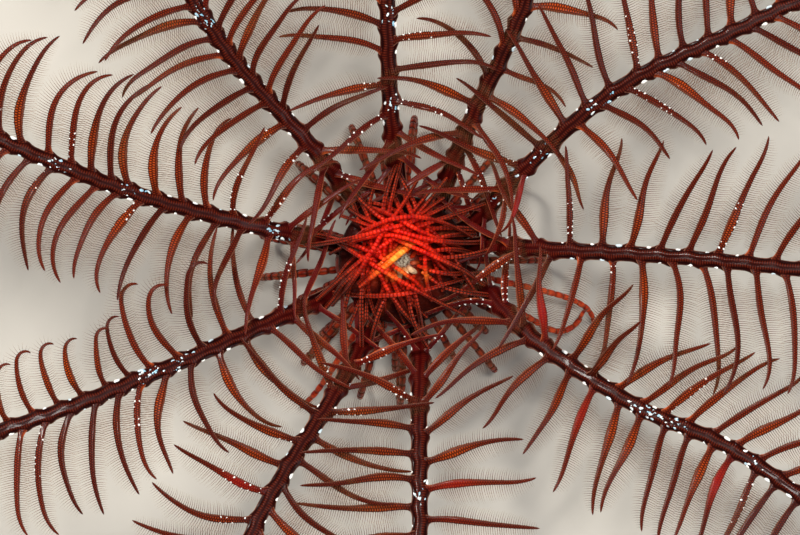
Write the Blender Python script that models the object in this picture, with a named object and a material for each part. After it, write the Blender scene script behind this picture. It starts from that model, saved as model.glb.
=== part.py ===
"""Mediterranean feather star, life size, standing on its cirri with its mouth side up.

Ten feathered arms spread from a small cup, the disc with the mouth lies in the cup, jointed oral
pinnules arch over it, and hooked cirri below are the feet. All sizes here are millimetres until
a mesh is made. The star's axis is worked out about x = y = 0 and the finished star is then moved
so that the middle of its box stands over the origin, on the floor.
"""

import math
import random

import bmesh
import bpy
import numpy as np

MM = 0.001
SEED = 11
GAP = 0.3
UP = np.array((0.0, 0.0, 1.0))
ALONG_X = np.array((1.0, 0.0, 0.0))
STEEP = 0.97
FRAME_REACH = 0.4
CURVE_STEPS = 24
SHARP_EDGE = 40
TINY = 1e-9

# Heights above the floor
CENTRODORSAL_BOTTOM = 6.0
CENTRODORSAL_TOP = 8.4
CUP_BOTTOM = CENTRODORSAL_TOP + GAP
CUP_TOP = 10.4

# Course of the arms: distance from the axis, and height of the arm's axis there
ARM_RADII = (2.3, 5.0, 10.0, 18.0, 28.0, 53.0, 75.0, 88.0)
ARM_HEIGHTS = (9.8, 12.2, 15.6, 18.4, 20.2, 22.0, 23.0, 26.6)
RAY_ROOT = {"radius": 0.9, "height": 9.5, "width": 1.9, "end_radius": 2.65, "end_height": 10.0}

# For each arm: azimuth of its ray, then its own azimuth in degrees at the radii from 5 mm out,
# its reach as a share of the longest, and how much its outer part is raised in mm
ARMS = {
    "arm_01": (112, (128, 129, 130, 127, 124, 119, 117), 0.95, 1.5),
    "arm_02": (112, (94, 94.7, 93.2, 91.5, 91, 95, 97), 0.99, -1.0),
    "arm_03": (44, (59, 64, 64.5, 67, 62, 57, 56), 0.96, 2.0),
    "arm_04": (44, (27, 37, 38.5, 34, 30, 33, 35), 1.0, 0.0),
    "arm_05": (-12, (11, 3.8, 0.6, -1.8, -4, -1, 1), 0.97, 2.0),
    "arm_06": (-12, (-15, -31, -32, -30.3, -35, -42, -44), 0.98, -1.0),
    "arm_07": (-98, (-78, -84, -86.5, -88, -84, -80, -78), 0.96, 1.0),
    "arm_08": (-98, (-114, -117, -119.3, -118.5, -122, -127, -129), 0.97, 2.0),
    "arm_09": (-176, (-154.5, -155, -155.6, -157, -160, -165, -167), 1.0, 0.0),
    "arm_10": (-176, (-193.5, -193, -194, -196.8, -200, -203, -205), 0.94, 1.5),
}
RAISE_SHARES = (0, 0, 0, 0, 0.2, 0.6, 1.0, 1.8)
REACH_FROM = 30.0

# Width of an arm at distances along it, and where its lengths begin
ARM_WIDTHS = ((0, 1.6), (2, 1.45), (5, 1.34), (13, 1.2), (25, 1.05), (50, 0.95), (96, 0.8))
ARM_SIDES = 6
ARM_RING_STEP = 5.4
ARM_TIP = 1.2
BASE_STATIONS = (0.0, 1.6, 3.0, 4.6)
BASE_END = BASE_STATIONS[-1]
LENGTHS = {"inner": (BASE_END + GAP, 24.0), "middle": (24.0 + GAP, 52.0), "outer": (52.0 + GAP, None)}

# Pinnules: one every PINNULE_STEP along the arm, on alternate sides
PINNULE_STEP = 2.1
PINNULE_FIRST = 5.8
PINNULE_LAST = 1.6
PINNULE_LENGTHS = ((5, 5.8), (9, 7.2), (20, 7.6), (38, 8.3), (60, 7.8), (78, 5.4), (92, 2.2))
PINNULE_WIDTH = 0.66
PINNULE_SEGMENTS = 3
PINNULE_TAPER = (1.0, 1.0, 0.84, 0.0)
PINNULE_RISES = ((5, 24.0), (12, 14.0), (22, 8.0), (94, 6.0))
PINNULE_STRAY = {"distance": 0.15, "lean": 5.0, "turn": 8.0, "length": 0.06, "rise": 3.0}

# Lean towards the arm's tip and further turn along the pinnule, in degrees, as (lean, turn) near
# the disc and farther out on the left side of the arm, then the same on its right side
PINNULE_POSE = {
    "arm_01": ((-40, 0), (24, -48), (-8, 5), (34, -42)),
    "arm_02": ((-28, 5), (18, -45), (-28, 20), (4, -40)),
    "arm_03": ((-22, -10), (38, -60), (0, -10), (26, -35)),
    "arm_04": ((-20, 0), (24, 5), (-28, 0), (36, -50)),
    "arm_05": ((-38, 20), (24, 14), (-20, 0), (18, -22)),
    "arm_06": ((-34, 14), (26, 20), (-48, 55), (7, 18)),
    "arm_07": ((-48, 10), (-6, 22), (-42, 10), (5, 18)),
    "arm_08": ((-25, 0), (18, -35), (-25, 0), (10, -22)),
    "arm_09": ((-15, -5), (22, -42), (-25, -10), (16, -62)),
    "arm_10": ((-30, 0), (18, -55), (-38, -20), (6, -70)),
}
LEAN_AT = 0.3
RISE_TRIALS = (0, 7, -7, 14, -14, 21, -21, 28, 35, -28, 42, 50, -36, 58, 66)
LENGTH_TRIALS = (1.0, 0.86, 0.72, 0.58, 0.44)
POSE_NEAR = 4.5
POSE_FAR = 13.5
POSE_SETTLED = (30.0, 45.0)
SETTLED_POSE = (24, -34)

# Oral pinnules: root along the arm, reach past the axis, and height at the crown of the arch
ORAL_LONG = {"root": 3.2, "reach": 5.6, "crown": 15.1, "side": -1}
ORAL_SHORT = {"root": 3.9, "reach": -1.4, "crown": 14.7, "side": 1}
ORAL_WIDTH = 0.54
ORAL_TAPER = 0.75
ORAL_SEGMENTS = 6
ORAL_STAND = {"up": 1.6, "in": 0.25, "aside": 0.4}
ORAL_TIP_RISE = 0.6
ORAL_ARCH_LEAD = 0.8
ORAL_SWING_END = 1.2
ORAL_GAP = 0.1
ORAL_LIFTS = (0.0, 0.25, 0.5, 0.75, 1.0, 1.25, 1.5, 1.75, 2.0, 2.3, 2.6, 3.0)
ORAL_ASIDES = (0.7, -0.7, 1.4, -1.4, 0.0, 2.1, -2.1)

# Disc: its top as shares of the radius with heights above its lower rim
DISC_RADIUS = 4.1
DISC_SIDES = 24
DISC_FLOOR_RADIUS = 1.2
DISC_UNDER_RADIUS = 2.6
DISC_TOP = ((1.0, 0.5), (0.8, 0.85), (0.45, 1.1))
MOUTH = {"radius": 0.8, "height": 1.15, "depth": 0.5}
ANAL_CONE = {"radius": 2.0, "azimuth": 190.0, "foot": 1.0, "height": 1.3, "width": 1.3, "tip": 0.87}

# Cirri: rows from the outside in, with how many, where they leave the button, and their length
CIRRUS_ROWS = (
    {"count": 13, "height": 7.7, "length": 14.6, "first": 4.0, "turn": 188.0, "stands": True},
    {"count": 9, "height": 6.8, "length": 9.4, "first": 22.0, "turn": 190.0, "stands": False},
)
CIRRUS_WIDTH = 0.62
CIRRUS_TAPER = 0.8
CIRRUS_SEGMENTS = 6
CIRRUS_SIDES = 4
CIRRUS_ROOT = 1.75
CIRRUS_BEND_POWER = 2.2
CIRRUS_STRAY = {"azimuth": 6.0, "sideways": 4.0}
CENTRODORSAL_PROFILE = ((0.0, 0.0), (1.2, 0.0), (2.0, 0.7), (2.2, 1.5), (1.9, 2.4), (0.0, 2.4))
CUP_PROFILE = ((0.0, 0.0), (2.0, 0.0), (3.0, 0.9), (2.7, 1.7), (0.0, 1.7))
TURNED_SIDES = 16
FOOT_SINK = 0.12

COLOURS = {
    "arm": (0.20, 0.035, 0.025),
    "oral": (0.62, 0.05, 0.03),
    "disc": (0.50, 0.20, 0.10),
    "cirri": (0.42, 0.08, 0.04),
}


def clear_scene():
    for item in list(bpy.data.objects):
        bpy.data.objects.remove(item, do_unlink=True)


def material(name, colour):
    made = bpy.data.materials.new(name)
    made.use_nodes = True
    shader = made.node_tree.nodes["Principled BSDF"]
    shader.inputs["Base Color"].default_value = (*colour, 1.0)
    shader.inputs["Roughness"].default_value = 0.45
    shader.inputs["Metallic"].default_value = 0.0
    return made


def unit(vector):
    return vector / np.linalg.norm(vector)


def between(table, at):
    """Value of a (distance, value) table at a distance."""
    return float(np.interp(at, [row[0] for row in table], [row[1] for row in table]))


def polar(radius, azimuth, height):
    angle = math.radians(azimuth)
    return np.array((radius * math.cos(angle), radius * math.sin(angle), height))


def smooth_line(points):
    """Catmull-Rom curve through the points, as a dense line."""
    points = np.array(points, float)
    ends = np.vstack((2 * points[0] - points[1], points, 2 * points[-1] - points[-2]))
    line = []
    for index in range(1, len(ends) - 2):
        before, first, second, after = ends[index - 1 : index + 3]
        for step in range(CURVE_STEPS):
            t = step / CURVE_STEPS
            line.append(
                0.5
                * (
                    2 * first
                    + (second - before) * t
                    + (2 * before - 5 * first + 4 * second - after) * t**2
                    + (3 * first - before - 3 * second + after) * t**3
                )
            )
    line.append(points[-1])
    return np.array(line)


class Course:
    """A dense line that is read by the distance along it."""

    def __init__(self, points):
        self.points = smooth_line(points)
        steps = np.linalg.norm(np.diff(self.points, axis=0), axis=1)
        self.distances = np.concatenate(((0.0,), np.cumsum(steps)))
        self.length = float(self.distances[-1])

    def at(self, distance):
        return np.array([np.interp(distance, self.distances, self.points[:, axis]) for axis in range(3)])

    def frame(self, distance):
        """Point, direction, left side and upper side of the course there."""
        after = self.at(min(distance + FRAME_REACH, self.length))
        before = self.at(max(distance - FRAME_REACH, 0.0))
        ahead = unit(after - before)
        left = unit(np.cross(UP, ahead))
        return self.at(distance), ahead, left, np.cross(ahead, left)


def arm_course(name):
    ray, azimuths, reach, raised = ARMS[name]
    angles = (ray, *azimuths)
    points = []
    for radius, height, azimuth, share in zip(ARM_RADII, ARM_HEIGHTS, angles, RAISE_SHARES):
        stretch = reach if radius > REACH_FROM else 1.0
        points.append(polar(radius * stretch, azimuth, height + raised * share))
    return Course(points)


def object_from(mesh_tool, name, look):
    mesh = bpy.data.meshes.new(name)
    mesh_tool.to_mesh(mesh)
    mesh_tool.free()
    made = bpy.data.objects.new(name, mesh)
    made.data.materials.append(look)
    return made


def tube(name, centres, radii, sides, look, pointed_end=True):
    """Closed tapered tube along the centres; a last radius of zero closes it to a point."""
    tool = bmesh.new()
    rings = []
    for index, (centre, radius) in enumerate(zip(centres, radii)):
        before = centres[max(index - 1, 0)]
        after = centres[min(index + 1, len(centres) - 1)]
        ahead = unit(after - before)
        left = unit(np.cross(UP if abs(ahead[2]) < STEEP else ALONG_X, ahead))
        upper = np.cross(ahead, left)
        if pointed_end and index == len(centres) - 1:
            rings.append([tool.verts.new(centre * MM)])
            continue
        ring = []
        for corner in range(sides):
            turn = 2 * math.pi * (corner + 0.5) / sides
            outward = math.cos(turn) * left + math.sin(turn) * upper
            ring.append(tool.verts.new((centre + radius * outward) * MM))
        rings.append(ring)
    tool.faces.new(rings[0][::-1])
    for ring, following in zip(rings, rings[1:]):
        for corner in range(sides):
            other = (corner + 1) % sides
            if len(following) == 1:
                tool.faces.new((ring[corner], ring[other], following[0]))
            else:
                tool.faces.new((ring[corner], ring[other], following[other], following[corner]))
    if len(rings[-1]) > 1:
        tool.faces.new(rings[-1])
    bmesh.ops.recalc_face_normals(tool, faces=tool.faces)
    return object_from(tool, name, look)


def turned(name, profile, base_height, sides, look):
    """Closed solid of revolution about the star's axis; the profile runs from pole to pole."""
    tool = bmesh.new()
    rings = []
    for radius, height in profile:
        azimuths = [360 * step / sides for step in range(sides if radius > 0 else 1)]
        corners = [polar(radius, azimuth, base_height + height) for azimuth in azimuths]
        rings.append([tool.verts.new(corner * MM) for corner in corners])
    for ring, following in zip(rings, rings[1:]):
        for corner in range(sides):
            other = (corner + 1) % sides
            if len(ring) == 1:
                tool.faces.new((ring[0], following[other], following[corner]))
            elif len(following) == 1:
                tool.faces.new((ring[corner], ring[other], following[0]))
            else:
                tool.faces.new((ring[corner], ring[other], following[other], following[corner]))
    bmesh.ops.recalc_face_normals(tool, faces=tool.faces)
    return object_from(tool, name, look)


def signed_volume(faces):
    total = 0.0
    for face in faces:
        corners = [loop.vert.co for loop in face.loops]
        for second, third in zip(corners[1:], corners[2:]):
            total += corners[0].dot(second.cross(third)) / 6
    return total


def keep_largest(mesh):
    """Leaves only the closed surface with the most volume."""
    tool = bmesh.new()
    tool.from_mesh(mesh)
    waiting = set(tool.faces)
    surfaces = []
    while waiting:
        surface = [waiting.pop()]
        for face in surface:
            for edge in face.edges:
                for beside in edge.link_faces:
                    if beside in waiting:
                        waiting.remove(beside)
                        surface.append(beside)
        surfaces.append(surface)
    surfaces.sort(key=signed_volume)
    for surface in surfaces[:-1]:
        bmesh.ops.delete(tool, geom=surface, context="FACES")
    tool.to_mesh(mesh)
    tool.free()


def fuse(body, pieces):
    """Joins the pieces to the body, which stays one closed surface."""
    bpy.context.scene.collection.objects.link(body)
    group = bpy.data.collections.new(body.name + "_pieces")
    bpy.context.scene.collection.children.link(group)
    for piece in pieces:
        group.objects.link(piece)
    union = body.modifiers.new("fuse", "BOOLEAN")
    union.operation = "UNION"
    union.operand_type = "COLLECTION"
    union.collection = group
    union.solver = "MANIFOLD"
    evaluated = body.evaluated_get(bpy.context.evaluated_depsgraph_get())
    fused = bpy.data.meshes.new_from_object(evaluated)
    body.modifiers.clear()
    for piece in pieces:
        bpy.data.objects.remove(piece, do_unlink=True)
    bpy.data.collections.remove(group)
    keep_largest(fused)
    body.data = fused
    body.data.shade_smooth()
    body.data.set_sharp_from_angle(angle=math.radians(SHARP_EDGE))
    return body


def segment_gap(first, second, starts, ends):
    """Least distance between one segment and each of many."""
    own = second - first
    others = ends - starts
    apart = first - starts
    own_square = max(float(own @ own), TINY)
    other_square = np.maximum(np.einsum("ij,ij->i", others, others), TINY)
    both = others @ own
    own_apart = apart @ own
    other_apart = np.einsum("ij,ij->i", others, apart)
    spread = own_square * other_square - both**2
    crossing = (both * other_apart - own_apart * other_square) / np.maximum(spread, TINY)
    on_own = np.where(spread > TINY, np.clip(crossing, 0, 1), 0.0)
    on_other = np.clip((both * on_own + other_apart) / other_square, 0, 1)
    on_own = np.clip((both * on_other - own_apart) / own_square, 0, 1)
    nearest_own = first + on_own[:, None] * own
    nearest_other = starts + on_other[:, None] * others
    return np.linalg.norm(nearest_own - nearest_other, axis=1)


class Room:
    """What is already placed, as round-ended segments with the node that owns each."""

    def __init__(self):
        self.starts = np.zeros((0, 3))
        self.ends = np.zeros((0, 3))
        self.radii = np.zeros(0)
        self.owners = np.array([], dtype=object)

    def add_flat_ended(self, line, radii, owner):
        """A tube cut square at both ends, whose rounded ends would otherwise stand proud."""
        line = np.array(line, float)
        line[0] += unit(line[1] - line[0]) * radii[0]
        line[-1] += unit(line[-2] - line[-1]) * radii[-1]
        self.add(line, radii, owner)

    def add(self, line, radii, owner):
        line = np.array(line)
        radii = np.array(radii)
        self.starts = np.vstack((self.starts, line[:-1]))
        self.ends = np.vstack((self.ends, line[1:]))
        self.radii = np.concatenate((self.radii, np.maximum(radii[:-1], radii[1:])))
        self.owners = np.concatenate((self.owners, [owner] * (len(line) - 1)))

    def clearance(self, line, radii, owner):
        """Least gap from the line to all that other nodes own."""
        foreign = self.owners != owner
        starts = self.starts[foreign]
        ends = self.ends[foreign]
        others = self.radii[foreign]
        least = math.inf
        if not len(starts):
            return least
        for index in range(len(line) - 1):
            own = max(radii[index], radii[index + 1])
            gaps = segment_gap(line[index], line[index + 1], starts, ends) - others - own
            least = min(least, float(gaps.min()))
        return least


def pose_at(name, side, distance):
    """Lean and turn of a pinnule on that side of the arm, that far along it."""
    first = 0 if side > 0 else 2
    near, far = PINNULE_POSE[name][first : first + 2]
    spread = np.clip((distance - POSE_NEAR) / (POSE_FAR - POSE_NEAR), 0, 1)
    settled = np.clip((distance - POSE_SETTLED[0]) / (POSE_SETTLED[1] - POSE_SETTLED[0]), 0, 1)
    pose = np.array(near) * (1 - spread) + np.array(far) * spread
    return pose * (1 - settled) + np.array(SETTLED_POSE) * settled


def pinnule_line(course, distance, side, length, lean, curl, rise):
    """Centre-line of a pinnule from the arm's axis out to its tip."""
    point, ahead, left, upper = course.frame(distance)
    climb = math.radians(rise)
    step = length / PINNULE_SEGMENTS
    line = [point]
    for index in range(PINNULE_SEGMENTS):
        along = (index + 0.5) / PINNULE_SEGMENTS
        turn = math.radians(lean + curl * (along - LEAN_AT))
        level = math.cos(turn) * side * left + math.sin(turn) * ahead
        line.append(line[-1] + step * (math.cos(climb) * level + math.sin(climb) * upper))
    return np.array(line)


def stray(chance, what):
    return chance.uniform(-PINNULE_STRAY[what], PINNULE_STRAY[what])


def place_pinnule(room, course, name, node, distance, side, chance):
    """Bends a pinnule up or down, then shortens it, until it is clear of the other nodes."""
    lean, curl = pose_at(name, side, distance)
    lean += stray(chance, "lean")
    curl += stray(chance, "turn")
    length = between(PINNULE_LENGTHS, distance) * (1 + stray(chance, "length"))
    rise = between(PINNULE_RISES, distance) + stray(chance, "rise")
    radii = np.array(PINNULE_TAPER) * PINNULE_WIDTH / 2
    for shorter in LENGTH_TRIALS:
        for extra in RISE_TRIALS:
            line = pinnule_line(course, distance, side, length * shorter, lean, curl, rise + extra)
            if room.clearance(line, radii, node) > GAP:
                room.add(line, radii, node)
                return line, radii
    return None


def arm_rings(course, start, end):
    count = max(2, round((end - start) / ARM_RING_STEP))
    return [start + (end - start) * step / count for step in range(count + 1)]


def arm_tube(name, course, start, end, look):
    """One length of an arm, round in section, pointed where it is the arm's tip."""
    to_tip = end is None
    last = course.length - ARM_TIP if to_tip else end
    stations = arm_rings(course, start, last)
    centres = [course.at(distance) for distance in stations]
    radii = [between(ARM_WIDTHS, distance) / 2 for distance in stations]
    if to_tip:
        centres.append(course.at(course.length))
        radii.append(0.0)
    return tube(name, centres, radii, ARM_SIDES, look, pointed_end=to_tip), centres, radii


def oral_line(course, kind, lift, aside):
    """An oral pinnule: up from the arm base, over the disc, and down on the far side."""
    root, ahead, left, upper = course.frame(kind["root"])
    inward = -unit(root * (1, 1, 0))
    across = np.cross(UP, inward)
    beside = ORAL_STAND["aside"] * kind["side"] * left
    stand = root + UP * ORAL_STAND["up"] + inward * ORAL_STAND["in"] + beside
    span = math.hypot(stand[0], stand[1]) + kind["reach"]
    line = [root, stand]
    for index in range(1, ORAL_SEGMENTS):
        share = index / (ORAL_SEGMENTS - 1)
        arch = 1 - (2 * share**ORAL_ARCH_LEAD - 1) ** 2
        swing = aside * math.sin(math.pi * min(share * ORAL_SWING_END, 1))
        height = stand[2] + (kind["crown"] + lift - stand[2]) * arch + share * ORAL_TIP_RISE
        line.append(stand * (1, 1, 0) + inward * span * share + across * swing + UP * height)
    return np.array(line)


def oral_pinnules(room, courses, look):
    """Each is raised and shifted until it passes clear of the ones already standing."""
    radii = np.linspace(1.0, ORAL_TAPER, ORAL_SEGMENTS + 1) * ORAL_WIDTH / 2
    radii[-1] = 0.0
    standing = Room()
    cone, cone_radii = anal_cone()
    standing.add(cone, [radius + GAP - ORAL_GAP for radius in cone_radii], "disc")
    made = []
    names = list(courses)
    for kind in (ORAL_LONG, ORAL_SHORT):
        for order in range(len(names)):
            name = names[order * 3 % len(names)]
            trials = [(lift, aside) for lift in ORAL_LIFTS for aside in ORAL_ASIDES]
            lines = [oral_line(courses[name], kind, *trial) for trial in trials]
            gaps = [standing.clearance(line[1:], radii[1:], name) for line in lines]
            clear = [line for line, gap in zip(lines, gaps) if gap > ORAL_GAP]
            line = clear[0] if clear else lines[int(np.argmax(gaps))]
            standing.add(line, radii, name + "_first" if kind is ORAL_LONG else name)
            room.add(line, radii, "calyx")
            made.append(tube(name + "_oral", list(line), radii, 3, look))
    return made


def build_calyx(room, courses, look):
    """Cup of radials, the forked ray bases, and the oral pinnules that stand on them."""
    cup = turned("calyx", CUP_PROFILE, CUP_BOTTOM, TURNED_SIDES, look)
    pieces = []
    for name, course in courses.items():
        centres = [course.at(distance) for distance in BASE_STATIONS]
        radii = [between(ARM_WIDTHS, distance) / 2 for distance in BASE_STATIONS]
        room.add_flat_ended(centres, radii, "calyx")
        pieces.append(tube(name + "_base", centres, radii, ARM_SIDES, look, pointed_end=False))
    for ray in sorted({arm[0] for arm in ARMS.values()}):
        inner = polar(RAY_ROOT["radius"], ray, RAY_ROOT["height"])
        fork = polar(RAY_ROOT["end_radius"], ray, RAY_ROOT["end_height"])
        centres = [inner, fork]
        radii = [RAY_ROOT["width"] / 2] * 2
        pieces.append(tube("ray", centres, radii, 8, look, pointed_end=False))
    pieces += oral_pinnules(room, courses, look)
    return fuse(cup, pieces)


def over_arms(radius):
    """Height just clear of the arm bases, that far from the axis."""
    slope = math.atan2(ARM_HEIGHTS[1] - ARM_HEIGHTS[0], ARM_RADII[1] - ARM_RADII[0])
    arm_axis = float(np.interp(radius, ARM_RADII[:3], ARM_HEIGHTS[:3]))
    return arm_axis + ARM_WIDTHS[1][1] / 2 / math.cos(slope) + GAP


def anal_cone():
    """Centres and radii of the anal cone, from inside the disc up."""
    base = polar(ANAL_CONE["radius"], ANAL_CONE["azimuth"], over_arms(DISC_RADIUS))
    foot = base + UP * ANAL_CONE["foot"]
    centres = [base, foot, foot + UP * ANAL_CONE["height"]]
    return centres, [ANAL_CONE["width"] / 2, ANAL_CONE["width"] / 2, ANAL_CONE["tip"] / 2]


def build_disc(look):
    """The disc lies on the arm bases and bulges up to the mouth; the anal cone stands beside it."""
    floor = CUP_TOP + GAP
    rim = over_arms(DISC_RADIUS)
    profile = [(0.0, floor), (DISC_FLOOR_RADIUS, floor)]
    profile += [(DISC_UNDER_RADIUS, over_arms(DISC_UNDER_RADIUS)), (DISC_RADIUS, rim)]
    profile += [(DISC_RADIUS * share, rim + height) for share, height in DISC_TOP]
    profile.append((MOUTH["radius"], rim + MOUTH["height"]))
    profile.append((0.0, rim + MOUTH["height"] - MOUTH["depth"]))
    disc = turned("disc", profile, 0.0, DISC_SIDES, look)
    centres, radii = anal_cone()
    cone = tube("anal_cone", centres, radii, 8, look, pointed_end=False)
    return fuse(disc, [cone])


def cirrus_line(row, index):
    """A cirrus: out from the button, down to the floor, and hooked in at its claw."""
    azimuth = 360 * index / row["count"] + CIRRUS_STRAY["azimuth"] * math.sin(index * 2.4)
    sideways = CIRRUS_STRAY["sideways"] * math.sin(index * 1.7)
    point = np.array((CIRRUS_ROOT, row["height"]))
    line = [polar(point[0], azimuth, point[1])]
    for step in range(CIRRUS_SEGMENTS):
        share = (step + 0.5) / CIRRUS_SEGMENTS
        down = math.radians(row["first"] + row["turn"] * share**CIRRUS_BEND_POWER)
        point = point + row["length"] / CIRRUS_SEGMENTS * np.array((math.cos(down), -math.sin(down)))
        line.append(polar(point[0], azimuth + sideways * share, point[1]))
    return np.array(line)


def set_on_floor(line):
    """Stretches a cirrus in height so that its lowest joint sinks a little into the floor."""
    drop = line[0][2] - line[:, 2].min()
    scale = (line[0][2] + FOOT_SINK) / drop
    line[:, 2] = line[0][2] - (line[0][2] - line[:, 2]) * scale
    return line


def cut_flat(mesh):
    """Cuts off what reaches below the floor and closes the cut."""
    tool = bmesh.new()
    tool.from_mesh(mesh)
    everything = tool.verts[:] + tool.edges[:] + tool.faces[:]
    cut = bmesh.ops.bisect_plane(
        tool, geom=everything, dist=1e-7, plane_co=(0, 0, 0), plane_no=(0, 0, 1), clear_inner=True
    )
    rims = [item for item in cut["geom_cut"] if isinstance(item, bmesh.types.BMEdge)]
    bmesh.ops.holes_fill(tool, edges=rims, sides=0)
    bmesh.ops.recalc_face_normals(tool, faces=tool.faces)
    tool.to_mesh(mesh)
    tool.free()


def build_centrodorsal(look):
    """Button under the cup, with the cirri that the star stands on."""
    button = turned("centrodorsal", CENTRODORSAL_PROFILE, CENTRODORSAL_BOTTOM, TURNED_SIDES, look)
    cirri = []
    for row in CIRRUS_ROWS:
        for index in range(row["count"]):
            line = cirrus_line(row, index)
            if row["stands"]:
                line = set_on_floor(line)
            radii = np.linspace(1.0, CIRRUS_TAPER, CIRRUS_SEGMENTS + 1) * CIRRUS_WIDTH / 2
            cirri.append(tube("cirrus", list(line), radii, CIRRUS_SIDES, look, pointed_end=False))
    fuse(button, cirri)
    cut_flat(button.data)
    return button


def length_at(distance):
    """The arm's length that holds a pinnule there, and its root kept off that length's ends."""
    for part, (start, end) in LENGTHS.items():
        if end is None or distance < end + GAP:
            break
    distance = max(distance, start + PINNULE_WIDTH)
    if end is not None:
        distance = min(distance, end - PINNULE_WIDTH)
    return part, distance


def build_arms(room, courses, look):
    tubes = {}
    for name, course in courses.items():
        for part, (start, end) in LENGTHS.items():
            node = name + "_" + part
            made, centres, radii = arm_tube(node, course, start, end, look)
            room.add_flat_ended(centres, radii, node)
            tubes[node] = made
    chance = random.Random(SEED)
    pinnules = {node: [] for node in tubes}
    count = int((max(course.length for course in courses.values()) - PINNULE_FIRST) / PINNULE_STEP)
    for index in range(count):
        for name, course in courses.items():
            distance = PINNULE_FIRST + PINNULE_STEP * index + stray(chance, "distance")
            if distance > course.length - PINNULE_LAST:
                continue
            part, distance = length_at(distance)
            node = name + "_" + part
            side = 1 if index % 2 else -1
            placed = place_pinnule(room, course, name, node, distance, side, chance)
            if placed is None:
                print("no room for a pinnule on", node, round(distance, 1))
                continue
            line, radii = placed
            pinnules[node].append(tube("pinnule", list(line), radii, 3, look))
    return [fuse(tubes[node], pinnules[node]) for node in tubes]


def stand_over_origin(objects):
    """Moves the star so that the middle of its box is over the origin."""
    corners = np.array([np.array(vertex.co) for item in objects for vertex in item.data.vertices])
    middle = (corners.min(axis=0) + corners.max(axis=0)) / 2
    for item in objects:
        for vertex in item.data.vertices:
            vertex.co.x -= middle[0]
            vertex.co.y -= middle[1]


def main():
    clear_scene()
    looks = {name: material(name, colour) for name, colour in COLOURS.items()}
    courses = {name: arm_course(name) for name in ARMS}
    room = Room()
    made = [build_calyx(room, courses, looks["oral"])]
    made.append(build_disc(looks["disc"]))
    made.append(build_centrodorsal(looks["cirri"]))
    made += build_arms(room, courses, looks["arm"])
    stand_over_origin(made)


main()
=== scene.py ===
"""Looks of the mediterranean feather star: its skin, pinnules, tube feet, white beads that are
partly pearly glands and partly painted glints, joints and claws.

All sizes are millimetres about the star's own axis until a mesh is made. The arms' courses and the
lie of the pinnules are those of the solids, here at the living animal's number and fineness.
"""

import itertools
import math
import random

import bpy
import numpy as np
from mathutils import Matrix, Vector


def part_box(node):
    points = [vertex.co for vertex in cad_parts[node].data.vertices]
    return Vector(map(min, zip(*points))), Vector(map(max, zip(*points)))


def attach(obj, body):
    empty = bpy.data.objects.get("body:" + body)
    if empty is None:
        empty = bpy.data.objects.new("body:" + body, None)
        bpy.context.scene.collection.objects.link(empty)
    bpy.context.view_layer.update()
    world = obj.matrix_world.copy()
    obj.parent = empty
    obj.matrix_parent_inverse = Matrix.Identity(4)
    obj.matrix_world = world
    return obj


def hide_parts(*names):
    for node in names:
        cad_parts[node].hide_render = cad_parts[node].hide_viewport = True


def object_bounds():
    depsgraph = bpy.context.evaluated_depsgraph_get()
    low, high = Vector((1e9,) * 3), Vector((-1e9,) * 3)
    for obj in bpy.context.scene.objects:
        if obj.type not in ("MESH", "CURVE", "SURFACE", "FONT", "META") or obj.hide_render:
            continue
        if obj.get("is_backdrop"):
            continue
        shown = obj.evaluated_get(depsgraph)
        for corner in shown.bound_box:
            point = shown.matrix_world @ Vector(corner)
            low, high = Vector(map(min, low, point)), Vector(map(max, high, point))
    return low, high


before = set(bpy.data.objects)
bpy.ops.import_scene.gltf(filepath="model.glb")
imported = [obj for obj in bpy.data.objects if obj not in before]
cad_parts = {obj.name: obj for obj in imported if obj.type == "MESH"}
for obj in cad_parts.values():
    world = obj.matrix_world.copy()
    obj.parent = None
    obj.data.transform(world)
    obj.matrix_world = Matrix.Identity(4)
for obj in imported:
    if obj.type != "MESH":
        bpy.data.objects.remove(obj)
cad_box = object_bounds()

MM = 0.001
SEED = 23
UP = np.array((0.0, 0.0, 1.0))
TINY = 1e-9
# Size on the map for baking of the patch that each small joined form takes
PATCH = 0.003
DISC_LOW, DISC_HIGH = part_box("disc")
AXIS = np.array(((DISC_LOW.x + DISC_HIGH.x) / 2, (DISC_LOW.y + DISC_HIGH.y) / 2, 0.0)) / MM

# Course of the arms: distance from the axis, and height of the arm's axis there
ARM_RADII = (2.3, 5.0, 10.0, 18.0, 28.0, 53.0, 75.0, 88.0)
ARM_HEIGHTS = (9.8, 12.2, 15.6, 18.4, 20.2, 22.0, 23.0, 26.6)
RAISE_SHARES = (0, 0, 0, 0, 0.2, 0.6, 1.0, 1.8)
REACH_FROM = 30.0
# How far before and behind a place on an arm its direction is read
FRAME_REACH = 0.4

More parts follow.
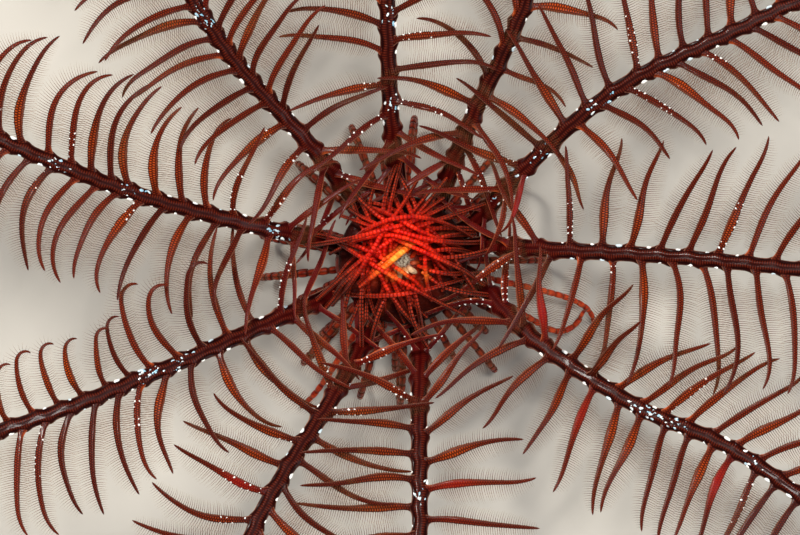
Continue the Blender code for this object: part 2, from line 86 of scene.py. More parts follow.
# For each arm: azimuth of its ray, then its own azimuth in degrees at the radii from 5 mm out,
# its reach as a share of the longest, how much its outer part is raised in mm, and the distance
# between neighbouring pinnules on one side
ARMS = {
    "arm_01": (112, (128, 129, 130, 127, 124, 119, 117), 0.95, 1.5, 1.55),
    "arm_02": (112, (94, 94.7, 93.2, 91.5, 91, 95, 97), 0.99, -1.0, 1.65),
    "arm_03": (44, (59, 64, 64.5, 67, 62, 57, 56), 0.96, 2.0, 1.65),
    "arm_04": (44, (27, 37, 38.5, 34, 30, 33, 35), 1.0, 0.0, 1.72),
    "arm_05": (-12, (11, 3.8, 0.6, -1.8, -4, -1, 1), 0.97, 2.0, 1.85),
    "arm_06": (-12, (-15, -31, -32, -30.3, -35, -42, -44), 0.98, -1.0, 1.68),
    "arm_07": (-98, (-78, -84, -86.5, -88, -84, -80, -78), 0.96, 1.0, 1.74),
    "arm_08": (-98, (-114, -117, -119.3, -118.5, -122, -127, -129), 0.97, 2.0, 1.88),
    "arm_09": (-176, (-154.5, -155, -155.6, -157, -160, -165, -167), 1.0, 0.0, 1.69),
    "arm_10": (-176, (-193.5, -193, -194, -196.8, -200, -203, -205), 0.94, 1.5, 1.58),
}
ARM_PARTS = ("inner", "middle", "outer")
FINE_REACH = 33.0
ARM_RING_STEPS = (0.14, 0.24)
ARM_HALF_WIDTHS = ((0, 0.8), (2, 0.76), (5, 0.7), (13, 0.63), (25, 0.57), (50, 0.48), (85, 0.36))
ARM_TIP = 1.6
ARM_ABOVE = 0.62
ARM_BELOW = 0.86
ARM_TURNS = (
    *(0, 5, 17, 30, 42, 54, 66, 78, 90, 102, 114, 126, 138, 150, 163, 175),
    *(180, 187, 212, 241, 270, 299, 328, 353),
)
# Scallops of an arm's sides: half width between pinnules, how much more at one, and its reach along
SCALLOP = {"width": 0.84, "swell": 0.3, "reach": 0.34}
# Forms across the top, as the place (share of the half width) and reach of each
RIDGE = (0.36, 0.15)
GROOVE = (0.0, 0.17)
BRANCH = (0.5, 0.4)
PITS = (0.63, 0.13)
GRANULE_ROWS = (0.36, 0.26)
# How high the ridges rise, and how deep grooves, pits and the joints' seams are, by half width
ARM_RELIEF = {"ridge": 0.03, "groove": 0.06, "pit": 0.2, "seam_below": 0.13, "seam_aside": 0.09}
# Length of an arm joint, how far its seam slants, and the seam's reach where fine and farther out
BRACHIAL = 0.86
BRACHIAL_SLANT = 0.2
# How far the groove sways to each pinnule, by half width
GROOVE_SWAY = 0.09
# Skin near the disc is plainer and darker, as painted shade, and blushes: centre and reach along the arm
ARM_BASE_SHADE = (3.0, 3.0)
ARM_BLUSH = (4.5, 5.5)
# Painted highlight along the edges, as the height in degrees on the section and the reach
ARM_EDGE_HIGHLIGHT = (9, 11)
SEAM_REACHES = (0.1, 0.16)

# Pinnules, on alternate sides
PINNULE_FIRST = 5.2
PINNULE_LAST = 1.0
PINNULE_LENGTHS = ((5, 5.4), (9, 7.2), (20, 7.6), (38, 8.1), (60, 7.4), (78, 5.0), (92, 1.8))
PINNULE_RISES = ((5, 24.0), (12, 14.0), (22, 8.0), (94, 6.0))
PINNULE_HALF_WIDTHS = (
    (0, 0.21), (0.08, 0.195), (0.18, 0.215), (0.32, 0.25), (0.46, 0.23), (0.62, 0.195), (0.82, 0.155),
    (0.93, 0.115), (0.98, 0.075), (1, 0.012),
)
PINNULE_GIRTHS = ((5, 0.86), (9, 0.94), (15, 1.0))
# Length from which a pinnule has its full girth
PINNULE_FULL = 6.5
# Where one side of an arm bears longer or shorter pinnules: share of the usual length, by distance
PINNULE_STRETCH = {
    ("arm_03", -1): ((11, 1.0), (14, 0.78), (20, 0.85), (28, 1.0)),
    ("arm_04", -1): ((8, 0.75), (12.5, 0.64), (15, 0.92), (20, 1.0)),
    ("arm_05", 1): ((12, 1.0), (16, 1.08), (30, 1.08), (44, 1.0)),
    ("arm_05", -1): ((12, 1.0), (16, 1.2), (30, 1.16), (44, 1.0)),
    ("arm_07", -1): ((11, 1.0), (14, 1.1), (26, 1.1), (40, 1.0)),
    ("arm_09", -1): ((18.5, 1.0), (20, 0.64), (28, 0.68), (36, 1.0)),
}
# Pinnules near the disc are darker, as painted shade: by the distance along the arm
PINNULE_LIGHT = ((5, 0.1), (7, 0.3), (9, 0.7), (11, 1.0), (60, 1.0))
PINNULE_FLARE = {"width": 0.17, "from": 0.42, "reach": 0.26}
PINNULE_STRAY = {
    "distance": 0.1, "lean": 5.0, "turn": 11.0, "length": 0.08, "rise": 4.0, "hook": 22.0, "sway": 9.0,
}
# Share of the pinnules that blush red
BLUSHING = 0.05
PINNULE_HOOK = -10.0
HOOKED = {"arm": "arm_09", "side": -1, "from": 13.0, "to": 36.0, "hook": -95.0}
PINNULE_ROLL = 20.0
PINNULE_RINGS = (54, 20)
GRANULE_PITCH = 0.165
GRANULE_COLUMNS = 8.0
# Length of a pinnule joint, and its seam: reach by joint, and depth by half width
PINNULAR = 0.52
PINNULE_SEAM = {"reach": 0.24, "depth": 0.15}
# Teeth of the covering plates; the orange rim at the root, bare ossicle with a painted highlight; the
# start of the rows of granules
TEETH = 0.09
ROOT_RIM = {"at": 0.75, "reach": 0.28}
ROWS_START = {"from": 0.5, "reach": 1.2}
# How much the pinnules near the disc blush
INNER_BLUSH = 0.32
# Ripe glands: where on the arm, where and how far along the pinnule, how much wider it grows there,
# and the range that each pinnule's share is drawn from, none below 0
GONAD = {"from": 7.0, "to": 44.0, "centre": 2.4, "reach": 1.35, "swell": 0.5, "shares": (-0.7, 1.0)}
FULL_ARMS = {"arms": ("arm_06", "arm_07"), "until": 17.0, "least": 0.55}
PINNULE_SECTION = (
    (0, 1.0, 0.08), (38, 0.78, 0.52), (66, 0.38, 0.66), (90, 0.0, 0.56), (114, -0.38, 0.66),
    (142, -0.78, 0.52), (180, -1.0, 0.08), (222, -0.74, -0.62), (270, 0.0, -0.96), (318, 0.74, -0.62),
)
# What each corner of the section bears: teeth of the covering plates, joints below, rows of
# granules, painted highlight on the edges, an orange rim at the root that is bare ossicle with a
# painted highlight, a painted orange highlight on the rim near the disc, and the bare underside
PINNULE_CORNERS = {
    "teeth": (0, 1, 0, 0, 0, 1, 0, 0, 0, 0),
    "joints": (0, 0, 0, 0, 0, 0, 0.4, 1, 1, 1),
    "rows": (0, 0.6, 1, 0.7, 1, 0.6, 0, 0, 0, 0),
    "edge": (0.8, 0, 0, 0, 0, 0, 0.6, 0, 0, 0),
    "root_rim": (0, 0, 0, 0, 0, 0.4, 1, 0.6, 0, 0),
    "inner_rim_highlight": (0, 0, 0, 0, 0, 0, 0.9, 0, 0, 0),
    "under": (0.1, 0, 0, 0, 0, 0, 0.3, 1, 1, 0.8),
}
# Pinnules pass those of other arms clear as rods of this half width, as far as this along an arm
CLEAR_HALF_WIDTH = 0.2
CLEAR_UNTIL = 52.0
CLEAR_GAP = 0.04
CLEAR_SEGMENTS = 5
RISE_TRIALS = (0, 6, -6, 12, -12, 18, -18, 24, -24, 30)

# Rows of pinnules on the left and the right side of each arm: distances in mm of the first, the
# fourth, the seventh and the tenth root along the arm, leans in degrees towards the arm's tip at
# the LEAN_SPOTS, and further turn along the pinnule near the disc and farther out
ROOT_MARKS = (0, 3, 6, 9)
LEAN_SPOTS = (8.0, 10.5, 13.0, 17.0, 22.0)
TURN_SPOTS = (7.0, 14.0)
PINNULE_ROWS = {
    "arm_01": (
        ((7.75, 13.65, 17.85, 21.7), (-28, -2, 30, 28, 26), (0, -48)),
        ((7.1, 12.5, 16.9, 20.8), (-45, -8, 41, 38, 35), (5, -42)),
    ),
    "arm_02": (
        ((7.65, 13.5, 19.0, 23.8), (-32, -12, 27, 31, 28), (5, -45)),
        ((6.5, 12.55, 18.0, 22.9), (-40, -15, 25, 32, 30), (20, -40)),
    ),
    "arm_03": (
        ((7.2, 13.1, 19.6, 24.6), (-38, -14, 48, 60, 45), (-10, -60)),
        ((6.6, 12.0, 18.5, 23.6), (-50, -20, 10, 20, 28), (-10, -35)),
    ),
    "arm_04": (
        ((7.9, 14.0, 19.95, 24.95), (-36, -12, 8, 20, 20), (0, 5)),
        ((8.0, 14.85, 20.7, 26.0), (-52, -56, -4, 36, 40), (0, -26)),
    ),
    "arm_05": (
        ((7.0, 13.2, 19.1, 24.8), (-58, -8, 0, 20, 19), (20, 14)),
        ((7.9, 13.95, 19.9, 25.5), (-45, -15, 5, 17, 22), (0, -22)),
    ),
    "arm_06": (
        ((7.4, 13.0, 18.55, 23.65), (-56, -48, 6, 25, 28), (14, 20)),
        ((8.4, 13.55, 19.05, 24.0), (-45, -25, 7, 12, 0), (55, 18)),
    ),
    "arm_07": (
        ((7.85, 13.65, 19.2, 24.4), (-48, -48, -18, 0, 5), (10, 22)),
        ((7.6, 13.0, 18.5, 23.8), (-45, -8, 0, 0, 8), (10, 18)),
    ),
    "arm_08": (
        ((7.2, 13.05, 18.55, 23.5), (-40, -42, -5, 22, 32), (0, -35)),
        ((7.8, 13.65, 19.7, 25.2), (-48, -28, 15, 20, 18), (0, -22)),
    ),
    "arm_09": (
        ((7.9, 13.65, 19.0, 23.9), (-18, -20, 8, 34, 36), (-5, -42)),
        ((6.85, 12.65, 18.0, 22.95), (-28, -3, 0, 27, 15), (-10, -62)),
    ),
    "arm_10": (
        ((6.8, 12.45, 17.65, 22.2), (5, 22, 25, 30, 20), (0, -55)),
        ((7.6, 13.15, 18.55, 22.85), (-30, 5, 28, 32, 28), (-20, -70)),
    ),
}
LEAN_AT = 0.14
# How a pinnule hooks towards its tip, sways in waves along it, and climbs from root to tip
HOOK = {"from": 0.72, "reach": 0.28, "power": 1.5}
SWAY_WAVES = 1.1
CLIMB = {"root": 1.15, "fall": 0.4}
POSE_SETTLED = (30.0, 45.0)
SETTLED_POSE = (27, -34)

# Tube feet along both edges of a pinnule's groove
FOOT_STEPS = (0.15, 0.28)
FOOT_FIRST = 0.95
FOOT_LENGTH = 1.4
FOOT_RADIUS = 0.031
FOOT_SEGMENTS = (3, 2)
FOOT_BOW = 0.2
# Lie and bow of a foot, and its root on the pinnule by half width: aside, up and ahead; how much
# the lie strays; how far along the pinnule the last ones stand
FOOT_LIE = {"up": 0.2, "ahead": 0.1, "stray_up": 0.03, "stray_ahead": 0.02, "stray_size": 0.04}
FOOT_BOW_WAY = {"ahead": 0.75, "up": 0.5}
FOOT_ROOT = {"aside": 0.66, "up": 0.3}
FOOT_LAST = 0.97
FOOT_SHARES = ((7.4, 0.0), (7.5, 0.45), (11.5, 0.8), (15.0, 1.0))

# White beads in the angles between the pinnules and the arm, partly pearly glands and partly painted
# glints, and in rows of painted glints on some pinnules
PEARL_GLINT = {"long": 0.46, "wide": 0.13}
PEARL_GLINT_BACK = 0.62
GLINT_ROW_STEP = 0.4
# Chance of a bead in an angle, of a row of them near the disc and beyond a distance, of a row on
# both edges, and of a gap in a row
PEARL_GLINT_CHANCES = {"gland": 0.7, "near": 0.38, "beyond": 12, "far": 0.16, "both": 0.6, "gap": 0.25}

# Blue-white flecks on the arms, as painted sheen: place in mm about the axis, how many, and how far
# they spread
SHEEN_FLECKS = (
    ((-8.6, 1.9), 26, 0.55), ((-16.4, -7.5), 22, 0.6), ((-12.8, 15.9), 24, 0.6), ((-0.5, 10.4), 14, 0.5),
    ((5.1, 5.7), 12, 0.6), ((16.0, -9.7), 24, 0.7), ((17.6, -11.5), 22, 0.7), ((-17.6, 4.6), 18, 0.7),
    ((-14.6, -6.8), 12, 0.5), ((13.0, 9.6), 12, 0.6), ((-1.7, 16.0), 10, 0.5), ((9.6, 7.2), 10, 0.5),
    ((0.9, -15.5), 12, 0.5), ((-22.6, 6.6), 14, 0.6), ((21.5, -14.5), 12, 0.6),
)
SHEEN_FLECK = {"long": 0.27, "wide": 0.15, "thick": 0.05}
# Beads are uneven: how far their points shift, and the size of the unevenness
BEAD_SHIFT = 0.13
BEAD_GRAIN = 0.13

# Oral pinnules, in mm about the axis: arm, root along it, where each passes beside the mouth, tip
ORALS = (
    ("arm_05", 4.0, (2.6, 0.75), (1.05, 0.45)), ("arm_06", 3.8, (2.6, -0.9), (1.05, -0.4)),
    ("arm_04", 3.8, (2.6, 1.5), (1.2, 0.95)), ("arm_07", 3.8, (0.95, -2.6), (0.7, -1.1)),
    ("arm_06", 5.4, (3.1, -1.75), (1.35, -0.85)), ("arm_08", 5.1, (-1.4, -2.9), (-0.75, -1.4)),
    ("arm_05", 5.4, (3.2, 0.15), (1.2, 0.1)), ("arm_07", 5.2, (0.4, -3.2), (0.15, -1.5)),
    ("arm_02", 5.1, (1.3, 0.1), (2.6, -1.95)), ("arm_03", 3.8, (1.35, -0.3), (1.85, -2.5)),
    ("arm_09", 3.1, (0.3, 2.4), (2.95, 5.5)), ("arm_02", 3.1, (-1.0, -1.0), (0.07, -4.05)),
    ("arm_10", 3.1, (1.0, 2.0), (4.45, 1.5)), ("arm_04", 3.1, (-0.9, 1.0), (-4.1, -2.5)),
    ("arm_01", 3.1, (1.1, 1.1), (3.3, 0.45)), ("arm_08", 3.1, (-0.65, 2.5), (-0.45, 6.4)),
    ("arm_06", 3.1, (-0.2, 1.5), (-4.8, 0.45)), ("arm_03", 3.1, (-1.0, 0.4), (-1.3, -4.6)),
    ("arm_10", 4.5, (0.9, -1.5), (3.95, -3.6)), ("arm_09", 4.5, (-0.1, 2.5), (0.85, 5.1)),
    ("arm_02", 4.5, (1.45, 0.2), (3.85, -1.4)), ("arm_05", 3.1, (-0.6, 1.1), (-4.4, -1.2)),
    ("arm_07", 3.1, (-1.25, 0.6), (-3.3, 4.9)), ("arm_10", 5.6, (0.9, 2.4), (3.15, 3.7)),
    ("arm_04", 4.5, (-1.1, 0.5), (-2.4, -3.8)), ("arm_01", 4.5, (-0.9, -0.5), (1.45, -3.8)),
    ("arm_09", 5.6, (0.35, 2.2), (2.6, 4.05)), ("arm_09", 4.2, (1.4, -1.5), (4.75, -0.65)),
    ("arm_10", 3.8, (1.9, 2.3), (5.35, 3.7)), ("arm_02", 3.8, (1.2, 0.7), (3.4, -0.1)),
    ("arm_08", 3.8, (-0.8, 2.2), (-1.2, 4.5)), ("arm_06", 4.5, (-0.3, 1.5), (-4.0, 2.9)),
    ("arm_01", 3.8, (1.9, 1.1), (4.05, 0.65)), ("arm_03", 4.5, (-1.4, 0.5), (-3.5, -4.3)),
    ("arm_09", 3.8, (0.8, 1.9), (3.45, 2.85)), ("arm_07", 4.5, (-1.3, 0.2), (-1.8, 5.2)),
    ("arm_10", 5.1, (0.7, -1.35), (1.85, -2.6)), ("arm_02", 5.6, (-0.95, -0.3), (0.9, -2.95)),
    ("arm_01", 5.6, (0.6, 1.4), (2.5, 1.35)), ("arm_09", 5.1, (0.9, 3.3), (2.0, 4.65)),
    ("arm_08", 5.6, (-1.9, -0.4), (-2.5, 2.5)), ("arm_05", 4.5, (-1.5, 1.9), (-3.4, 3.3)),
    ("arm_06", 5.0, (0.2, 2.9), (-2.3, 3.7)),
)
ORAL_CROWN = 15.3
# Height of the tips that end near the mouth, and how far out this holds
ORAL_INNER = {"height": 15.75, "from": 1.4, "to": 3.6}
ORAL_HALF_WIDTH = 0.155
ORAL_SEGMENTS = 10
ORAL_STAND = {"up": 1.15, "in": 0.75, "aside": 0.3, "foot_back": 0.75, "foot_down": 0.95}
ORAL_TIP_RISE = 0.6
ORAL_ARCH_LEAD = 0.8
# Joints of a rod: length, overlap and waist; the rods' girth runs from start to end
ORAL_LINK = {"length": 0.25, "overlap": 1.08, "waist": 0.13}
ORAL_GIRTH = {"start": 1.12, "fall": 0.34, "power": 1.4}
# Oral pinnules that lie across beside the mouth, as points in mm about the axis: places, how
# pale (a painted highlight), and how thick
ORALS_SEEN = (
    (
        (
            (0.9, 1.33, 15.9), (0.35, 0.87, 17.1), (-0.45, 0.2, 17.8), (-1.2, -0.42, 18.0),
            (-1.95, -1.04, 17.7), (-2.75, -1.7, 16.9),
        ),
        1.0, 1.3,
    ),
    (
        (
            (0.5, 1.35, 15.4), (0.05, 0.98, 16.6), (-0.7, 0.36, 17.3), (-1.45, -0.26, 17.5),
            (-2.2, -0.88, 17.2), (-2.9, -1.5, 16.5),
        ),
        0.45, 1.15,
    ),
)
ORAL_GAP = -0.04
ORAL_LIFTS = (0.0, 0.2, 0.4, 0.6, 0.8, 1.0, 1.2, 1.4, 1.6, 1.8, 2.0, 2.2, 2.5, 2.8)
ORAL_SHIFTS = (0.0, 0.25, 0.5, 0.75)
# Nothing passes over the mouth
MOUTH_ROOM = 0.5
# Easing the oral pinnules apart: rounds, gap to keep, most and share of a lack made good in one
# round, smoothing, how far one may sink, and how near two must lie at first to be watched
EASE = {"rounds": 400, "gap": 0.02, "most": 0.2, "share": 0.45, "smooth": 0.05, "sink": 0.12, "watch": 2.2}
# Pale bands beside the mouth, in plan, painted as a highlight on the oral pinnules that cross them
HIGHLIGHT_BANDS = (
    ((-1.15, -0.3), (-0.55, 0.45), (0.2, 0.95)),
    ((-0.85, -1.05), (0.2, -0.72), (0.95, -0.8), (1.5, -1.0)),
)
HIGHLIGHT_REACH = 0.3

# Joint colours: dark with dots as painted shade away from the mouth, base and bright as painted light near
# it, and the joints' rings
ORAL_TONES = {"dark": "1e0302", "dot": "a0321a", "base": "ac0605", "bright": "f4280e", "ring": "4c0403"}
# Painted light on the oral pinnules: the centre in plan of a lit pool, and its reach
ORAL_LIGHT_POOL = {"place": (-0.2, 0.6), "reach": 2.9}

# Disc and cup
DISC_UNDER = 12.5
DISC_CROWN = 14.15
# Side of the disc as radius and height; fall of its dome at the rim; mouth as radius and depth
DISC_SIDE = ((0.3, 11.0), (2.6, 11.2), (4.0, DISC_UNDER), (4.25, 12.85), (4.2, 13.2), (4.0, 13.4))
DISC_DOME = {"outer": 3.8, "inner": 0.62, "rings": 18, "fall": 0.75, "reach": 4.0, "power": 2.2}
DISC_MOUTH = ((0.5, -0.05), (0.42, 0.02), (0.34, 0.16), (0.2, 0.12), (0.06, 0.1))
MOUTH_RADIUS = 0.42
# Raised mound at the mouth: height and reach, and reach of the orange-red painted light about it
MOUND = {"height": 1.35, "reach": 1.1, "lit": 1.9}
# Soft lips about the mouth: azimuth, how pale, length and half width in mm
LIPS = (
    (-112, 1.0, 0.85, 0.21), (-84, 1.0, 0.8, 0.19), (-56, 0.8, 0.75, 0.2), (-140, 0.75, 0.9, 0.2),
    (-20, 0.15, 0.6, 0.16), (20, 0.0, 0.6, 0.16), (62, 0.0, 0.65, 0.16), (105, 0.1, 0.7, 0.17),
    (150, 0.25, 0.8, 0.17), (190, 0.3, 0.8, 0.18),
)
LIP_STAND = {"radius": 0.5, "height": 15.25, "rise": 0.16, "fall": 0.28, "turn": 14}
ANAL_CONE = {"radius": 2.0, "azimuth": 190.0, "height": 1.4, "width": 0.6}
# Grooves of the disc: where two part for their arms, how far out they reach them, half width
DISC_GROOVE = {"parts": 1.6, "reach": 2.4, "width": 0.17}
# Heights on the disc: rims and floors of the grooves, lumps of the skin, and the spot in the mouth
DISC_RELIEF = {"rim": 0.12, "floor": 0.16, "lumps": 0.05, "mouth": 0.05}
RAYS = (112, 44, -12, -98, -176)
CUP_PROFILE = (
    (0.3, 8.5), (1.7, 8.5), (2.1, 8.62), (2.5, 8.95), (2.62, 9.02), (2.9, 9.35), (3.15, 9.9), (3.0, 10.6),
    (2.4, 11.2), (0.3, 11.3),
)
# Plates of a ray, from the cup to where its two arms part: course as distance from the axis and
# height, then half widths, half heights and joint numbers by share of the course
RAY = {
    "rings": 28,
    "course": ((1.6, 9.1), (2.2, 9.62), (3.0, 10.32), (3.8, 11.05), (4.25, 11.42)),
    "widths": ((0, 0.8), (0.3, 0.98), (0.62, 1.0), (0.85, 1.18), (0.96, 0.9), (1, 0.3)),
    "heights": ((0, 0.6), (0.3, 0.78), (0.62, 0.8), (0.9, 0.72), (0.97, 0.5), (1, 0.2)),
    "links": ((0, 0.4), (0.3, 1.0), (0.62, 2.0), (1, 2.6)),
}

# Cirri
CIRRUS_ROWS = (
    {"count": 13, "height": 7.7, "length": 14.6, "first": 4.0, "turn": 188.0, "stands": True},
    {"count": 11, "height": 7.2, "length": 11.6, "first": 12.0, "turn": 196.0, "stands": False},
    {"count": 9, "height": 6.8, "length": 8.8, "first": 22.0, "turn": 190.0, "stands": False},
)
# Three longer cirri that show between the arms: distance from the axis, azimuth, height
CIRRI_SEEN = (
    (
        (1.75, -12, 7.2), (4, -12, 7.5), (7, -12, 6.6), (9.5, -12.2, 5.0), (11.8, -13, 3.2),
        (13.2, -15, 1.9), (13.8, -18, 1.2),
    ),
    (
        (1.75, -25, 7.0), (4, -24, 7.1), (7.4, -23, 5.8), (9.6, -24.5, 4.0), (11.3, -25, 2.7),
        (12.2, -23, 2.2), (12.7, -19.5, 2.1), (12.8, -17, 2.5),
    ),
    (
        (1.75, -123, 7.0), (4, -122, 7.3), (7.4, -123, 6.2), (9.4, -123, 4.6), (11.0, -123.5, 3.2),
        (12, -124.5, 2.2),
    ),
)
CIRRUS_GIRTHS = ((0, 1.12), (0.1, 1.0), (0.8, 0.86), (0.93, 0.68), (1, 0.58))
# How much painted light a cirrus gets, bright red against dark painted shade, and how thick it is:
# the usual ones, and those that the photo shows
CIRRUS_LOOKS = {"usual": (0.15, 1.0), "seen": (0.9, 0.9)}
# Side of the button that bears the cirri, as radius and height
BUTTON_PROFILE = (
    (0.2, 6.0), (0.8, 6.0), (1.3, 6.12), (1.7, 6.4), (1.95, 6.75), (2.05, 7.1), (2.08, 7.5), (2.0, 7.9),
    (1.9, 8.2), (1.75, 8.45), (0.2, 8.5),
)
CIRRUS_HALF_WIDTH = 0.27
CIRRUS_STEPS = 24
CIRRUS_ROOT = 1.75
CIRRUS_BEND_POWER = 2.2
CIRRUS_STRAY = {"azimuth": 6.0, "sideways": 4.0}
CIRRUS_LINK = {"length": 0.72, "overlap": 1.05, "waist": 0.2}
# Cirrus joint colours: dark with dots as painted shade, base and bright as painted light, and the joints'
# rings
CIRRUS_TONES = {"dark": "260503", "dot": "8a2610", "base": "961409", "bright": "d84a20", "ring": "2c0503"}
CIRRUS_LOWEST = 0.182
CLAW = {"length": 0.95, "girth": 0.15, "bend": 80.0, "rings": 9, "spine": 0.26, "spine_girth": 0.09}

# View: the photo is 800 by 535 pixels, and the star's axis stands at this place in it
PHOTO_WIDTH = 800
PHOTO_HEIGHT = 535
AXIS_PIXEL = (403.0, 260.0)
PIXEL = 0.065
VIEW_PLANE = 18.8
VIEW_DISTANCE = 300.0
SENSOR = 36.0
SKY = {"colour": (0.93, 0.96, 1.0, 1.0), "strength": 0.24}
# Lamps: place in metres, size, power and colour; all aim at the middle of the star
LAMPS = {
    "key": ((-0.2, 0.2, 0.42), 0.07, 2.6, (1.0, 0.96, 0.9)),
    "fill": ((0.36, -0.16, 0.34), 0.24, 0.9, (0.92, 0.96, 1.0)),
    "top": ((0.05, 0.06, 0.6), 0.08, 2.0, (1.0, 0.97, 0.94)),
}
LAMP_AIM = np.array((0, 0, 0.015))
FLOOR_SIZE = 8


def unit(vectors):
    vectors = np.asarray(vectors, float)
    return vectors / np.linalg.norm(vectors, axis=-1, keepdims=True)


def between(table, at):
    """Values of a (distance, value) table at distances."""
    return np.interp(at, [row[0] for row in table], [row[1] for row in table])


def polar(radius, azimuth, height):
    angle = math.radians(azimuth)
    return np.array((radius * math.cos(angle), radius * math.sin(angle), height))


def bump(at, centre, reach):
    return np.exp(-(((at - centre) / reach) ** 2))


def smooth_line(points, steps=24):
    """Catmull-Rom curve through the points, as a dense line."""
    points = np.array(points, float)
    ends = np.vstack((2 * points[0] - points[1], points, 2 * points[-1] - points[-2]))
    t = np.arange(steps)[:, None] / steps
    spans = []
    for index in range(1, len(ends) - 2):
        before, first, second, after = ends[index - 1 : index + 3]
        square = 2 * before - 5 * first + 4 * second - after
        cube = 3 * first - before - 3 * second + after
        spans.append(0.5 * (2 * first + (second - before) * t + square * t**2 + cube * t**3))
    return np.vstack((*spans, points[-1:]))


class Course:
    """A dense line that is read by the distance along it."""

    def __init__(self, points):
        self.points = smooth_line(points)
        steps = np.linalg.norm(np.diff(self.points, axis=0), axis=1)
        self.distances = np.concatenate(((0.0,), np.cumsum(steps)))
        self.length = float(self.distances[-1])

    def at(self, distances):
        columns = [np.interp(distances, self.distances, self.points[:, axis]) for axis in range(3)]
        return np.stack(columns, axis=-1)

    def frames(self, distances):
        """Points, directions, left sides and upper sides of the course there."""
        distances = np.asarray(distances, float)
        after = self.at(np.minimum(distances + FRAME_REACH, self.length))
        before = self.at(np.maximum(distances - FRAME_REACH, 0.0))
        ahead = unit(after - before)
        left = unit(np.cross(UP, ahead))
        return self.at(distances), ahead, left, np.cross(ahead, left)


def arm_course(name):
    ray, azimuths, reach, raised = ARMS[name][:4]
    points = []
    for radius, height, azimuth, share in zip(ARM_RADII, ARM_HEIGHTS, (ray, *azimuths), RAISE_SHARES):
        stretch = reach if radius > REACH_FROM else 1.0
        points.append(polar(radius * stretch, azimuth, height + raised * share))
    return Course(points)


def put(name, data):
    """An object of the scene that holds the data."""
    made = bpy.data.objects.new(name, data)
    bpy.context.scene.collection.objects.link(made)
    return made


def hold(mesh, name, values):
    """Stores a number or a vector at each of the mesh's points."""
    kind, field = ("FLOAT", "value") if values.ndim == 1 else ("FLOAT_VECTOR", "vector")
    layer = mesh.attributes.new(name, kind, "POINT")
    layer.data.foreach_set(field, values.astype(np.float32).ravel())


def point_mesh(name, points, values=None, edges=()):
    """A bare mesh of points, moved to the star's axis, and the values that they hold."""
    mesh = bpy.data.meshes.new(name)
    mesh.vertices.add(len(points))
    mesh.vertices.foreach_set("co", ((points + AXIS) * MM).astype(np.float32).ravel())
    if len(edges):
        mesh.edges.add(len(edges))
        mesh.edges.foreach_set("vertices", np.array(edges, np.int32).ravel())
    for value_name, value in (values or {}).items():
        hold(mesh, value_name, value)
    return mesh


class Shape:
    """Points, faces, maps and values of a piece, gathered until its mesh is made."""

    def __init__(self):
        self.points, self.faces, self.lies, self.bakes = [], [], [], []
        self.values = {}
        self.count = 0

    def add(self, points, faces, lies, bakes, values):
        """Adds points (n, 3), [faces (m, k)], their corners' two maps [(m, k, 2)] and {name: (n,)}."""
        self.points.append(points)
        self.faces += [group + self.count for group in faces]
        self.lies += lies
        self.bakes += bakes
        for name, value in values.items():
            self.values.setdefault(name, []).append(np.broadcast_to(value, (len(points),)))
        self.count += len(points)

    def made(self, name, finish):
        """The piece as an object."""
        mesh = point_mesh(name, np.concatenate(self.points))
        corners = np.concatenate([group.ravel() for group in self.faces])
        sizes = np.concatenate([np.full(len(group), group.shape[1]) for group in self.faces])
        mesh.loops.add(len(corners))
        mesh.loops.foreach_set("vertex_index", corners.astype(np.int32))
        mesh.polygons.add(len(sizes))
        starts = np.concatenate(((0,), np.cumsum(sizes)[:-1]))
        mesh.polygons.foreach_set("loop_start", starts.astype(np.int32))
        mesh.update(calc_edges=True)
        for map_name, parts in (("OFBake", self.bakes), ("lie", self.lies)):
            layer = mesh.uv_layers.new(name=map_name)
            flat = np.concatenate([part.reshape(-1, 2) for part in parts]).astype(np.float32)
            layer.uv.foreach_set("vector", flat.ravel())
        for value_name, parts in self.values.items():
            hold(mesh, value_name, np.concatenate(parts))
        mesh.materials.append(finish)
        mesh.shade_smooth()
        mesh.validate()
        return put(name, mesh)


def corner_map(lengthwise, crosswise):
    """Map of the faces between rings: (tubes, rings) and (corners + 1) to (faces, 4, 2)."""
    tubes, rings = lengthwise.shape
    corners = crosswise.shape[-1] - 1
    crosswise = np.broadcast_to(crosswise, (tubes, corners + 1))
    full = np.empty((tubes, rings - 1, corners, 4, 2))
    full[..., 0, 0] = full[..., 1, 0] = lengthwise[:, :-1, None]
    full[..., 2, 0] = full[..., 3, 0] = lengthwise[:, 1:, None]
    full[..., 0, 1] = full[..., 3, 1] = crosswise[:, None, :-1]
    full[..., 1, 1] = full[..., 2, 1] = crosswise[:, None, 1:]
    return full.reshape(-1, 4, 2)


def across_lines(lines):
    """Directions, left sides and upper sides of lines (..., points, 3)."""
    ahead = unit(np.gradient(lines, axis=-2))
    side = unit(np.cross(UP, ahead))
    return ahead, side, np.cross(ahead, side)


def circle(corners):
    """Angles in degrees of a circle's corners, and the corners of one of radius 1."""
    angles = np.arange(corners) * 360.0 / corners
    turn = np.radians(angles)
    return angles, np.stack((np.cos(turn), np.sin(turn)), axis=-1)


def ring_faces(tubes, rings, corners):
    """Faces between the rings of tubes, with the index of every corner."""
    index = np.arange(tubes * rings * corners).reshape(tubes, rings, corners)
    beside = np.roll(index, -1, axis=2)
    quads = np.stack((index[:, :-1], beside[:, :-1], beside[:, 1:], index[:, 1:]), axis=-1)
    return quads.reshape(-1, 4), index


